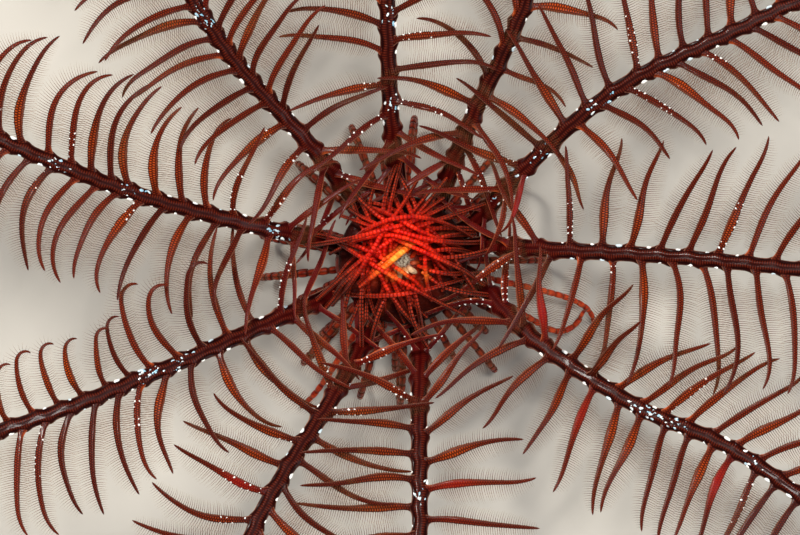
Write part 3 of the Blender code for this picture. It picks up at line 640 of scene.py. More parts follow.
def sweep(shape, centres, sides, section, turns, along, spots, values, turned_round=False):
    """Adds closed tubes. centres and the two sides are (tubes, rings, 3), section is (tubes, rings,
    corners, 2), turns the corners' angles in degrees, along (tubes, rings) in mm, and spots
    (tubes, 4) the place and size of each tube's patch on the map for baking."""
    tubes, rings, corners = section.shape[:3]
    across, above = sides
    points = centres[:, :, None] + across[:, :, None] * section[..., :1]
    points = points + above[:, :, None] * section[..., 1:]
    quads, index = ring_faces(tubes, rings, corners)
    turns = np.array((*turns, 360.0)) / 360
    lie = corner_map(along, turns)
    share = np.linspace(0, 1, rings)
    bake = corner_map(spots[:, :1] + spots[:, 2:3] * share, spots[:, 1:2] + spots[:, 3:4] * turns)
    caps = np.concatenate((index[:, 0, ::-1], index[:, -1]))
    cap_lie = np.zeros((len(caps), corners, 2))
    cap_lie[:, :, 0] = np.concatenate((along[:, 0], along[:, -1]))[:, None]
    cap_lie[:, :, 1] = turns[:-1]
    cap_bake = np.concatenate((spots[:, None, :2], spots[:, None, :2] + spots[:, None, 2:] * (1, 0)))
    cap_bake = np.repeat(cap_bake, corners, axis=1)
    cap_bake[:, :, 1] += np.concatenate((spots[:, 3], spots[:, 3]))[:, None] * turns[:-1]
    if turned_round:
        quads, lie, bake = quads[:, ::-1], lie[:, ::-1], bake[:, ::-1]
        caps, cap_lie, cap_bake = caps[:, ::-1], cap_lie[:, ::-1], cap_bake[:, ::-1]
    full = {name: np.broadcast_to(value, section.shape[:3]).ravel() for name, value in values.items()}
    shape.add(points.reshape(-1, 3), (quads, caps), (lie, cap_lie), (bake, cap_bake), full)


def shortest(first, own, second, other):
    """Shortest ways between segments that start at first and second and run along own and other,
    with the share of each segment at which they stand."""
    apart = first - second
    own_square = np.maximum((own**2).sum(axis=-1), TINY)
    other_square = np.maximum((other**2).sum(axis=-1), TINY)
    both = (own * other).sum(axis=-1)
    own_apart, other_apart = (own * apart).sum(axis=-1), (other * apart).sum(axis=-1)
    spread = own_square * other_square - both**2
    crossing = (both * other_apart - own_apart * other_square) / np.maximum(spread, TINY)
    on_own = np.where(spread > TINY, np.clip(crossing, 0, 1), 0.0)
    on_other = np.clip((both * on_own + other_apart) / other_square, 0, 1)
    on_own = np.clip((both * on_other - own_apart) / own_square, 0, 1)
    return apart + on_own[..., None] * own - on_other[..., None] * other, on_own, on_other


class Room:
    """What is already placed, as round-ended segments with the owner of each."""

    def __init__(self):
        self.starts = np.zeros((0, 3))
        self.ends = np.zeros((0, 3))
        self.radii = np.zeros(0)
        self.owners = np.array([], dtype=object)

    def add(self, line, radius, owner):
        self.starts = np.vstack((self.starts, line[:-1]))
        self.ends = np.vstack((self.ends, line[1:]))
        self.radii = np.concatenate((self.radii, np.full(len(line) - 1, radius)))
        self.owners = np.concatenate((self.owners, [owner] * (len(line) - 1)))

    def clearance(self, line, radius, owner):
        """Least gap from the line to all that others own."""
        foreign = self.owners != owner
        least = math.inf
        if not foreign.any():
            return least
        starts = self.starts[foreign]
        others = self.ends[foreign] - starts
        touching = self.radii[foreign] + radius
        for first, second in zip(line, line[1:]):
            way = shortest(first, second - first, starts, others)[0]
            least = min(least, float((np.linalg.norm(way, axis=1) - touching).min()))
        return least


class Desk:
    """Adds nodes to one tree and joins them."""

    def __init__(self, tree):
        self.tree = tree

    def add(self, kind, inputs=None, **settings):
        made = self.tree.nodes.new(kind)
        for name, value in settings.items():
            setattr(made, name, value)
        for key, value in (inputs or {}).items():
            if isinstance(value, bpy.types.NodeSocket):
                self.tree.links.new(value, made.inputs[key])
            else:
                made.inputs[key].default_value = value
        return made

    def sum(self, operation, *values, clamp=False):
        made = self.add("ShaderNodeMath", dict(enumerate(values)), operation=operation, use_clamp=clamp)
        return made.outputs[0]

    def times(self, first, second):
        return self.sum("MULTIPLY", first, second)

    def scaled(self, value, factor, start):
        """The start, and above it the value times a factor."""
        return self.sum("MULTIPLY_ADD", value, factor, start)

    def off(self, value, middle):
        """How far the value is from the middle, either way."""
        return self.sum("ABSOLUTE", self.sum("SUBTRACT", value, middle))

    def vector(self, operation, *values):
        return self.add("ShaderNodeVectorMath", dict(enumerate(values)), operation=operation).outputs[0]

    def parts(self, vector):
        """The three numbers of a vector."""
        return self.add("ShaderNodeSeparateXYZ", {0: vector}).outputs

    def whole(self, x, y=0.0, z=0.0):
        """A vector of three numbers."""
        return self.add("ShaderNodeCombineXYZ", {0: x, 1: y, 2: z}).outputs[0]

    def mix(self, share, first, second):
        """Colour between two, by a share. A colour may be a hexadecimal code."""
        first, second = [colour(item) if isinstance(item, str) else item for item in (first, second)]
        return self.add("ShaderNodeMix", {0: share, 6: first, 7: second}, data_type="RGBA").outputs[2]

    def value(self, name, output="Fac"):
        """A value that the mesh holds at its points."""
        return self.add("ShaderNodeAttribute", attribute_name=name).outputs[output]

    def steps(self, value, low, high):
        """0 below the low value, 1 above the high one, and smooth between."""
        inputs = {"Value": value, "From Min": low, "From Max": high}
        return self.add("ShaderNodeMapRange", inputs, interpolation_type="SMOOTHSTEP").outputs[0]

    def bumps(self, height, millimetres, strength):
        """Normal of a surface with this height."""
        inputs = {"Height": height, "Distance": millimetres * MM, "Strength": strength}
        return self.add("ShaderNodeBump", inputs).outputs[0]

    def group(self, tree, inputs):
        return self.add("ShaderNodeGroup", inputs, node_tree=tree).outputs

    def formed(self, kind, form, **inputs):
        """What a geometry node makes of a form."""
        return self.add("GeometryNode" + kind, {0: form, **inputs}).outputs[0]


def colour(code):
    """Linear colour of a hexadecimal screen colour."""
    parts = [int(code[index : index + 2], 16) / 255 for index in (0, 2, 4)]
    linear = [part / 12.92 if part <= 0.04045 else ((part + 0.055) / 1.055) ** 2.4 for part in parts]
    return (*linear, 1.0)


def node_group(kind, name, inputs, outputs):
    """An empty node group with sockets {name: kind}; gives its desk, its inputs and its outputs."""
    tree = bpy.data.node_groups.new(name, kind)
    for in_out, sockets in (("INPUT", inputs), ("OUTPUT", outputs)):
        for socket, socket_kind in sockets.items():
            tree.interface.new_socket(socket, in_out=in_out, socket_type="NodeSocket" + socket_kind)
    return Desk(tree), tree.nodes.new("NodeGroupInput").outputs, tree.nodes.new("NodeGroupOutput").inputs


def granules_group():
    """Rows of granules in columns round a stem, each column half a step on from the next."""
    desk, given, out = node_group("ShaderNodeTree", "granules", {"Lie": "Vector"}, {"Dots": "Float"})
    place = desk.parts(given["Lie"])
    column = desk.times(place[1], GRANULE_COLUMNS)
    odd = desk.sum("MODULO", desk.sum("FLOOR", column), 2.0)
    turn = desk.sum("DIVIDE", desk.times(place[0], 2 * math.pi), GRANULE_PITCH)
    along = desk.sum("SINE", desk.scaled(odd, math.pi, turn))
    across = desk.sum("ABSOLUTE", desk.sum("SINE", desk.times(column, math.pi)))
    dots = desk.times(desk.steps(along, -0.2, 0.7), desk.steps(across, 0.15, 0.75))
    desk.tree.links.new(dots, out["Dots"])
    return desk.tree


def grain_group():
    """Fine granules and broad mottling of wet skin, each of a size in millimetres."""
    sizes = {"Granule": "Float", "Mottle": "Float"}
    shares = {"Granules": "Float", "Mottling": "Float"}
    desk, given, out = node_group("ShaderNodeTree", "skin_grain", sizes, shares)
    place = desk.add("ShaderNodeTexCoord").outputs["Object"]
    granule_scale = desk.sum("DIVIDE", 1 / MM, given["Granule"])
    cells = desk.add("ShaderNodeTexVoronoi", {"Vector": place, "Scale": granule_scale}, feature="F1")
    desk.tree.links.new(desk.sum("SUBTRACT", 1.0, cells.outputs["Distance"], clamp=True), out["Granules"])
    mottle_scale = desk.sum("DIVIDE", 1 / MM, given["Mottle"])
    clouds = desk.add("ShaderNodeTexNoise", {"Vector": place, "Scale": mottle_scale, "Detail": 3.0})
    desk.tree.links.new(desk.steps(clouds.outputs[0], 0.32, 0.68), out["Mottling"])
    return desk.tree


def new_material(name):
    made = bpy.data.materials.new(name)
    made.use_nodes = True
    desk = Desk(made.node_tree)
    return made, desk, made.node_tree.nodes["Principled BSDF"]


def wire(desk, shader, links, constants):
    for socket, value in links.items():
        desk.tree.links.new(value, shader.inputs[socket])
    for socket, value in constants.items():
        shader.inputs[socket].default_value = value


def skin_material(groups):
    """Arms and pinnules: maroon sheath, rows of granules, painted highlight on the edges and rims,
    painted shade in the pits and near the disc, jointed underside, red glands.
    """
    made, desk, shader = new_material("feather_skin")
    lie = desk.add("ShaderNodeUVMap", uv_map="lie").outputs[0]
    dots = desk.group(groups["granules"], {"Lie": lie})["Dots"]
    grain = desk.group(groups["grain"], {"Granule": 0.085, "Mottle": 1.1})
    tone, under = desk.value("tone"), desk.value("under")
    sheath = desk.mix(tone, "160302", "2c0604")
    sheath = desk.mix(desk.times(grain["Mottling"], 0.5), sheath, "220403")
    bright = desk.mix(tone, "561b10", "96361a")
    bright = desk.mix(desk.times(desk.value("swell"), 0.6), bright, "e8601c")
    rows = desk.times(desk.value("band"), desk.scaled(dots, 0.88, 0.12))
    rows = desk.times(rows, desk.scaled(grain["Granules"], 0.4, 0.6))
    seam = desk.times(under, desk.steps(desk.off(desk.sum("FRACT", desk.value("link")), 0.5), 0.4, 0.47))
    plate = desk.mix(grain["Mottling"], "5e1009", "7c1f10")
    # Painted highlight: a pale line along the edges of the arms and pinnules
    rim = desk.times(desk.value("edge"), desk.scaled(grain["Granules"], 0.4, 0.5))
    look = desk.mix(rows, sheath, bright)
    for share, tint in (
        (desk.times(desk.value("blush"), 0.85), "840610"),
        (desk.times(under, 0.85), plate),
        (desk.times(seam, 0.85), "1c0302"),
        (rim, "cc8c70"),
        # Orange rims: at the roots bare ossicle with a painted highlight, near the disc a painted highlight
        (desk.times(desk.value("ember"), 0.75), "e8601c"),
        # Painted shade: near black in the pits and the groove
        (desk.times(desk.value("pit"), 0.9), "0e0102"),
    ):
        look = desk.mix(share, look, tint)
    height = desk.sum("SUBTRACT", desk.scaled(rows, 0.9, desk.times(grain["Granules"], 0.35)), seam)
    rough = desk.scaled(grain["Mottling"], 0.12, 0.22)
    links = {"Base Color": look, "Normal": desk.bumps(height, 0.03, 0.8), "Roughness": rough}
    wire(desk, shader, links, {"Coat Weight": 0.05, "Coat Roughness": 0.07, "Specular IOR Level": 0.06})
    return made


def foot_material():
    """Tube feet: thin, clear amber threads, paler at their tips."""
    made, desk, shader = new_material("tube_foot")
    look = desk.mix(desk.parts(desk.value("patch", "Vector"))[1], "6a3418", "a87c4c")
    wire(desk, shader, {"Base Color": look}, {"Roughness": 0.35, "Alpha": 0.62, "IOR": 1.36})
    return made


def joint_material(name, tones, groups):
    """Rods of short joints: bright red painted light near the mouth, and away from it painted shade,
    dark with orange dots in two rows, and a pale orange painted highlight where the lips are."""
    made, desk, shader = new_material(name)
    place = desk.parts(desk.value("patch", "Vector"))
    ring = desk.steps(desk.off(place[1], 0.5), 0.24, 0.46)
    aside = desk.sum("ABSOLUTE", desk.times(desk.sum("SUBTRACT", place[0], 0.5), place[2]))
    dots = desk.times(desk.steps(aside, 0.08, 0.38), desk.sum("SUBTRACT", 1.0, ring))
    grain = desk.group(groups["grain"], {"Granule": 0.07, "Mottle": 0.5})
    dots = desk.times(dots, desk.scaled(grain["Mottling"], 0.5, 0.5))
    far = desk.mix(dots, tones["dark"], tones["dot"])
    near = desk.mix(grain["Mottling"], tones["base"], tones["bright"])
    near = desk.mix(desk.times(ring, 0.5), near, tones["ring"])
    # Painted light near the mouth, painted shade away from it
    look = desk.mix(desk.value("lit"), far, near)
    # Painted highlight: pale orange on the rods beside the mouth
    pale = desk.mix(grain["Mottling"], "ff5c10", "ffa83c")
    look = desk.mix(desk.times(desk.value("lip"), 0.9), look, pale)
    rough = desk.scaled(grain["Granules"], 0.15, 0.25)
    links = {"Base Color": look, "Roughness": rough, "Normal": desk.bumps(grain["Granules"], 0.02, 0.5)}
    wire(desk, shader, links, {"Coat Weight": 0.06, "Coat Roughness": 0.08, "Specular IOR Level": 0.08})
    return made


def pearl_glint_material():
    """White beads and flecks, partly pearly glands and partly painted glints and sheen, some of them blue."""
    made, desk, shader = new_material("pearl_glint")
    look = desk.mix(desk.value("blue"), "f2efe9", "7fb4cc")
    wire(desk, shader, {"Base Color": look}, {"Roughness": 0.12, "Coat Weight": 1.0, "Coat Roughness": 0.04})
    return made


def disc_material(groups):
    """Skin of the disc: nearly black red, deepened as painted shade under the oral pinnules, with
    orange-brown grooves, and about the mouth an orange-red painted light, with pale lips and a rough
    beige spot."""
    made, desk, shader = new_material("disc_skin")
    grain = desk.group(groups["grain"], {"Granule": 0.16, "Mottle": 0.8})
    granules, mottling = grain["Granules"], grain["Mottling"]
    # Nearly black red: the skin's dark red, deepened as painted shade under the oral pinnules
    look = desk.mix(mottling, "140202", "2a0604")
    look = desk.mix(desk.value("groove"), look, "8a3c1c")
    look = desk.mix(desk.times(granules, 0.3), look, "1a0302")
    # Painted light: orange-red about the mouth
    look = desk.mix(desk.value("flush"), look, desk.mix(mottling, "8c0e06", "d8401a"))
    look = desk.mix(desk.value("lip"), look, desk.mix(mottling, "f08a34", "f6dcae"))
    spot = desk.mix(desk.steps(granules, 0.05, 0.75), "5c4a3a", "c9c0a8")
    look = desk.mix(desk.value("mouth"), look, spot)
    rough = desk.scaled(granules, 0.25, 0.4)
    links = {"Base Color": look, "Roughness": rough, "Normal": desk.bumps(granules, 0.06, 0.8)}
    wire(desk, shader, links, {"Coat Weight": 0.02, "Coat Roughness": 0.15, "Specular IOR Level": 0.04})
    return made


def floor_material():
    made, desk, shader = new_material("pale_floor")
    place = desk.add("ShaderNodeTexCoord").outputs["Object"]
    clouds = desk.add("ShaderNodeTexNoise", {"Vector": place, "Scale": 12.0, "Detail": 4.0}).outputs[0]
    wire(desk, shader, {"Base Color": desk.mix(clouds, "b2aea5", "bcb8af")}, {"Roughness": 0.7})
    return made


def geometry_tree(name, **sizes):
    """An empty geometry node tree with a form in and out, named sizes and a finish."""
    inputs = {"Form": "Geometry", **sizes, "Finish": "Material"}
    return node_group("GeometryNodeTree", name, inputs, {"Form": "Geometry"})


def held(desk, name, kind="FLOAT_VECTOR"):
    """A named value of the form's points."""
    return desk.add("GeometryNodeInputNamedAttribute", {"Name": name}, data_type=kind).outputs["Attribute"]


def patched(desk, form):
    """Keeps each point's place on the small form, as its patch."""
    place = desk.parts(desk.add("GeometryNodeInputPosition").outputs[0])
    patch = desk.whole(desk.sum("ADD", place[0], 0.5), place[2], place[1])
    inputs = {"Geometry": form, "Name": "patch", "Value": patch}
    settings = {"data_type": "FLOAT_VECTOR", "domain": "POINT"}
    return desk.add("GeometryNodeStoreNamedAttribute", inputs, **settings).outputs[0]


def stood(desk, points, form, turn, size):
    """The form set on each point."""
    inputs = {"Points": points, "Instance": form, "Rotation": turn, "Scale": size}
    return desk.add("GeometryNodeInstanceOnPoints", inputs).outputs[0]


def along_lie(desk):
    """Turn of a form along its lie, with one side to its bow."""
    ways = {0: held(desk, "lie_way"), 1: held(desk, "bow_way")}
    return desk.add("FunctionNodeAxesToRotation", ways, primary_axis="Z", secondary_axis="X").outputs[0]


def finished(desk, out, instances, finish):
    """Makes the instances one mesh with its map for baking and its material."""
    form = desk.formed("RealizeInstances", instances)
    patch = desk.vector("MULTIPLY", held(desk, "patch"), (PATCH,) * 3)
    inputs = {"Geometry": form, "Name": "OFBake", "Value": desk.vector("ADD", held(desk, "root"), patch)}
    form = desk.add("GeometryNodeStoreNamedAttribute", inputs, data_type="FLOAT2", domain="CORNER").outputs[0]
    form = desk.formed("SetMaterial", desk.formed("SetShadeSmooth", form), Material=finish)
    desk.tree.links.new(form, out["Form"])


def threads_tree():
    """A tapered, bowed thread on each point, along its lie and bent to its bow."""
    desk, given, out = geometry_tree("threads", Radius="Float", Bow="Float", Segments="Int")
    cone = {"Vertices": 3, "Side Segments": given["Segments"], "Radius Top": 0.0, "Radius Bottom": 1.0}
    cone["Depth"] = 1.0
    thread = patched(desk, desk.add("GeometryNodeMeshCone", cone, fill_type="NGON").outputs["Mesh"])
    height = desk.parts(desk.add("GeometryNodeInputPosition").outputs[0])[2]
    thread = desk.formed("Transform", thread, Scale=desk.whole(given["Radius"], given["Radius"], 1.0))
    bent = desk.times(given["Bow"], desk.sum("POWER", height, 2.0))
    thread = desk.formed("SetPosition", thread, Offset=desk.whole(bent))
    instances = stood(desk, given["Form"], thread, along_lie(desk), held(desk, "size"))
    finished(desk, out, instances, given["Finish"])
    return desk.tree


def beads_tree():
    """A smooth, uneven bead on each point, stretched along its lie."""
    desk, given, out = geometry_tree("beads")
    sphere = {"Segments": 8, "Rings": 5, "Radius": 0.5}
    bead = patched(desk, desk.add("GeometryNodeMeshUVSphere", sphere).outputs["Mesh"])
    instances = stood(desk, given["Form"], bead, along_lie(desk), held(desk, "size"))
    form = desk.formed("RealizeInstances", instances)
    rough = desk.add("ShaderNodeTexNoise", {"Scale": 1 / (BEAD_GRAIN * MM), "Detail": 0.0}).outputs["Color"]
    shift = desk.vector("MULTIPLY", desk.vector("SUBTRACT", rough, (0.5,) * 3), (BEAD_SHIFT * MM,) * 3)
    finished(desk, out, desk.formed("SetPosition", form, Offset=shift), given["Finish"])
    return desk.tree


def links_tree():
    """Short waisted joints end to end along each line of the form."""
    desk, given, out = geometry_tree("links", Length="Float", Overlap="Float", Waist="Float")
    line = desk.add("GeometryNodeMeshToCurve", {0: given["Form"]}).outputs[0]
    step = {"Curve": line, "Length": given["Length"]}
    line = desk.add("GeometryNodeResampleCurve", step, mode="LENGTH").outputs[0]
    barrel = {"Vertices": 8, "Side Segments": 4, "Radius": 1.0, "Depth": 1.0}
    link = desk.add("GeometryNodeMeshCylinder", barrel, fill_type="NGON").outputs["Mesh"]
    place = desk.add("GeometryNodeInputPosition").outputs[0]
    height = desk.sum("ABSOLUTE", desk.parts(place)[2])
    ends = desk.sum("POWER", desk.times(height, 2.0), 3.0)
    waisted = desk.sum("SUBTRACT", 1.0, desk.times(given["Waist"], ends))
    shaped = desk.vector("MULTIPLY", place, desk.whole(waisted, waisted, 1.0))
    link = desk.formed("SetPosition", link, Position=shaped)
    link = patched(desk, desk.formed("Transform", link, Translation=(0.0, 0.0, 0.5)))
    link = desk.formed("Transform", link, Translation=(0.0, 0.0, -0.5))
    way = desk.add("GeometryNodeInputTangent").outputs[0]
    turn = desk.add("FunctionNodeAlignRotationToVector", {"Vector": way}, axis="Z").outputs[0]
    girth = held(desk, "girth", "FLOAT")
    scale = desk.whole(girth, girth, desk.times(given["Length"], given["Overlap"]))
    finished(desk, out, stood(desk, line, link, turn, scale), given["Finish"])
    return desk.tree


def grown(name, mesh, tree, sizes):
    """The tree's result on the mesh, as a plain mesh object."""
    seed = put(name + "_seed", mesh)
    modifier = seed.modifiers.new("grow", "NODES")
    modifier.node_group = tree
    for item in tree.interface.items_tree:
        if item.in_out == "INPUT" and item.name in sizes:
            modifier[item.identifier] = sizes[item.name]
    evaluated = seed.evaluated_get(bpy.context.evaluated_depsgraph_get())
    made = bpy.data.meshes.new_from_object(evaluated)
    made.name = name
    seed.modifiers.clear()
    bpy.data.objects.remove(seed, do_unlink=True)
    bpy.data.meshes.remove(mesh)
    for value_name in ("root", "lie_way", "bow_way", "size"):
        layer = made.attributes.get(value_name)
        if layer is not None:
            made.attributes.remove(layer)
    return put(name, made)


def pinnule_row(name, side):
    return PINNULE_ROWS[name][0 if side > 0 else 1]


def root_distances(name, side, length):
    """Where the pinnules of one side stand along the arm."""
    marks = pinnule_row(name, side)[0]
    first_step = (marks[1] - marks[0]) / 3
    before = np.arange(marks[0] - first_step, PINNULE_FIRST, -first_step)[::-1]
    middle = np.interp(np.arange(ROOT_MARKS[-1] + 1), ROOT_MARKS, marks)
    after = np.arange(marks[-1] + ARMS[name][4], length - PINNULE_LAST, ARMS[name][4])
    return np.concatenate((before, middle, after))


def pose_at(name, side, distance):
    """Lean and turn of a pinnule on that side of the arm, that far along it."""
    leans, turns = pinnule_row(name, side)[1:]
    settled = np.clip((distance - POSE_SETTLED[0]) / (POSE_SETTLED[1] - POSE_SETTLED[0]), 0, 1)
    pose = np.array((np.interp(distance, LEAN_SPOTS, leans), np.interp(distance, TURN_SPOTS, turns)))
    return pose * (1 - settled) + np.array(SETTLED_POSE) * settled


def pinnule_lines(course, pinnules, segments):
    """Centre-lines (pinnules, segments + 1, 3) from the arm's axis out to the tips."""
    table = {key: np.array([pinnule[key] for pinnule in pinnules]) for key in pinnules[0]}
    column = {key: values[:, None] for key, values in table.items()}
    roots, ahead, left, upper = course.frames(table["distance"])
    along = (np.arange(segments) + 0.5) / segments
    hook = np.clip((along - HOOK["from"]) / HOOK["reach"], 0, 1) ** HOOK["power"]
    turn = column["lean"] + column["turn"] * (along - LEAN_AT) + column["hook"] * hook
    turn = turn + column["sway"] * np.sin(2 * math.pi * (SWAY_WAVES * along + column["tone"]))
    turn = np.radians(turn)[..., None]
    climb = np.radians(column["rise"] * (CLIMB["root"] - CLIMB["fall"] * along))[..., None]
    level = np.cos(turn) * (column["side"] * left)[:, None] + np.sin(turn) * ahead[:, None]
    ways = np.cos(climb) * level + np.sin(climb) * upper[:, None]
    steps = np.cumsum((table["length"] / segments)[:, None, None] * ways, axis=1)
    lines = roots[:, None] + np.concatenate((np.zeros((len(pinnules), 1, 3)), steps), axis=1)
    return lines, table


def plan_pinnules(room, courses):
    """Where each pinnule grows and how it lies, bent up or down until it passes the other arms'."""
    chance = random.Random(SEED)
    plans = {name: [] for name in courses}

    def stray(what):
        return chance.uniform(-PINNULE_STRAY[what], PINNULE_STRAY[what])

    stands = [
        (distance, name, side)
        for name, course in courses.items()
        for side in (1, -1)
        for distance in root_distances(name, side, course.length)
    ]
    for place, name, side in sorted(stands):
        course = courses[name]
        distance = place + stray("distance")
        lean, turn = pose_at(name, side, distance)
        stretch = between(PINNULE_STRETCH.get((name, side), ((0, 1.0),)), distance)
        pinnule = {
            "distance": distance,
            "side": side,
            "length": between(PINNULE_LENGTHS, distance) * stretch * (1 + stray("length")),
            "lean": lean + stray("lean"),
            "turn": turn + stray("turn"),
            "rise": between(PINNULE_RISES, distance) + stray("rise"),
            "hook": PINNULE_HOOK + stray("hook"),
            "sway": stray("sway"),
            "tone": chance.random(),
            "swell": max(0.0, chance.uniform(*GONAD["shares"])) * (GONAD["from"] < distance < GONAD["to"]),
            "blush": 1.0 if chance.random() < BLUSHING else 0.0,
        }
        if name in FULL_ARMS["arms"] and GONAD["from"] < distance < FULL_ARMS["until"]:
            pinnule["swell"] = max(pinnule["swell"], FULL_ARMS["least"])
        if name == HOOKED["arm"] and side == HOOKED["side"] and HOOKED["from"] < distance < HOOKED["to"]:
            pinnule["hook"] += HOOKED["hook"]
        if distance < CLEAR_UNTIL:
            rise = pinnule["rise"]
            best = (-math.inf, rise)
            for extra in RISE_TRIALS:
                pinnule["rise"] = rise + extra
                line = pinnule_lines(course, [pinnule], CLEAR_SEGMENTS)[0][0]
                gap = room.clearance(line, CLEAR_HALF_WIDTH, name)
                best = max(best, (gap, pinnule["rise"]))
                if gap > CLEAR_GAP:
                    break
            pinnule["rise"] = best[1]
            line = pinnule_lines(course, [pinnule], CLEAR_SEGMENTS)[0][0]
            room.add(line, CLEAR_HALF_WIDTH, name)
        plans[name].append(pinnule)
    return plans


def pinnule_frames(lines, sides):
    """Directions, distal sides and upper sides along the pinnules, rolled a little distally."""
    ahead, level, above = across_lines(lines)
    distal = -level * sides[:, None, None]
    share = np.clip(np.linspace(0, 4, lines.shape[1]), 0, 1)[None, :, None]
    roll = math.radians(PINNULE_ROLL) * share
    return ahead, np.cos(roll) * distal - np.sin(roll) * above, np.cos(roll) * above + np.sin(roll) * distal


def half_widths(table, along, share):
    """Half width of pinnules at distances (pinnules, rings) along them, and the flare at their roots."""
    scale = np.clip(table["length"] / PINNULE_FULL, 0.45, 1.0) * between(PINNULE_GIRTHS, table["distance"])
    swell = 1 + GONAD["swell"] * table["swell"][:, None] * bump(along, GONAD["centre"], GONAD["reach"])
    outside = np.maximum(along - PINNULE_FLARE["from"], 0) / PINNULE_FLARE["reach"]
    flare = PINNULE_FLARE["width"] * np.exp(-(outside**2))
    return between(PINNULE_HALF_WIDTHS, share) * scale[:, None] * swell, flare * scale[:, None]


def add_pinnules(shape, course, pinnules, rings, spots):
    """Adds swept pinnules and gives what their tube feet need."""
    lines, table = pinnule_lines(course, pinnules, rings - 1)
    share = np.linspace(0, 1, rings)[None, :]
    along = share * table["length"][:, None]
    ahead, distal, above = pinnule_frames(lines, table["side"])
    wide, flare = half_widths(table, along, share)
    angles = np.array([row[0] for row in PINNULE_SECTION], float)
    form = np.array([row[1:] for row in PINNULE_SECTION])
    corner = {key: np.array(row, float) for key, row in PINNULE_CORNERS.items()}
    section = form[None, None] * wide[..., None, None]
    section[..., 0] += form[None, None, :, 0] * flare[..., None]
    teeth = 1 + TEETH * np.cos(np.pi * np.arange(rings))[None, :, None] * corner["teeth"]
    joint = np.exp(-(((along / PINNULAR + 0.5) % 1 - 0.5) / PINNULE_SEAM["reach"]) ** 2)
    section = section * (teeth * (1 - PINNULE_SEAM["depth"] * joint[..., None] * corner["joints"]))[..., None]
    for side in (1, -1):
        pick = table["side"] == side
        if not pick.any():
            continue
        own = {key: values[pick][:, None, None] for key, values in table.items()}
        at = along[pick][..., None]
        swell = own["swell"] * bump(at, GONAD["centre"], GONAD["reach"])
        fade = np.clip((at - ROWS_START["from"]) / ROWS_START["reach"], 0, 1)
        # Painted shade darkens the pinnules near the disc and dims their rows of granules
        light = between(PINNULE_LIGHT, own["distance"])
        rim = bump(at, ROOT_RIM["at"], ROOT_RIM["reach"]) * np.clip(own["tone"] * 3 - 2, 0, 1)
        values = skin_values(
            tone=(own["tone"] * 0.75 + 0.25) * light,
            band=corner["rows"] * (0.35 + 0.65 * fade) * (0.5 + 0.5 * light),
            edge=corner["edge"],
            # Orange rim at the root, partly painted highlight, and a painted highlight on the rim near the
            # disc
            ember=corner["root_rim"] * rim + corner["inner_rim_highlight"] * (1 - light) * fade,
            under=corner["under"],
            swell=swell,
            blush=swell * own["blush"] + INNER_BLUSH * (1 - light),
            link=at / PINNULAR,
        )
        sides = (distal[pick], above[pick])
        parts = (section[pick], angles, along[pick], spots[pick])
        sweep(shape, lines[pick], sides, *parts, values, turned_round=side > 0)
    return {"lines": lines, "ahead": ahead, "distal": distal, "above": above, "wide": wide, "table": table}


def skin_values(**own):
    """Values of points with the skin's material: those given, and the rest nought."""
    names = ("tone", "band", "edge", "ember", "under", "swell", "blush", "link", "pit")
    return dict.fromkeys(names, 0.0) | own


def map_spots(count, low, high):
    """Places and sizes of patches in rows between two heights of the map for baking."""
    columns = max(1, round(math.sqrt(count * 0.35 / (high - low))))
    rows = math.ceil(count / columns)
    order = np.arange(count)
    wide, tall = 1 / columns, (high - low) / rows
    across = (order % columns + 0.05) * wide
    up = low + (order // columns + 0.1) * tall
    return np.stack((across, up, np.full(count, wide * 0.9), np.full(count, tall * 0.8)), axis=1)


def map_corners(count, low, high):
    """Corners of such patches, as vectors."""
    return np.column_stack((map_spots(count, low, high)[:, :2], np.zeros(count)))


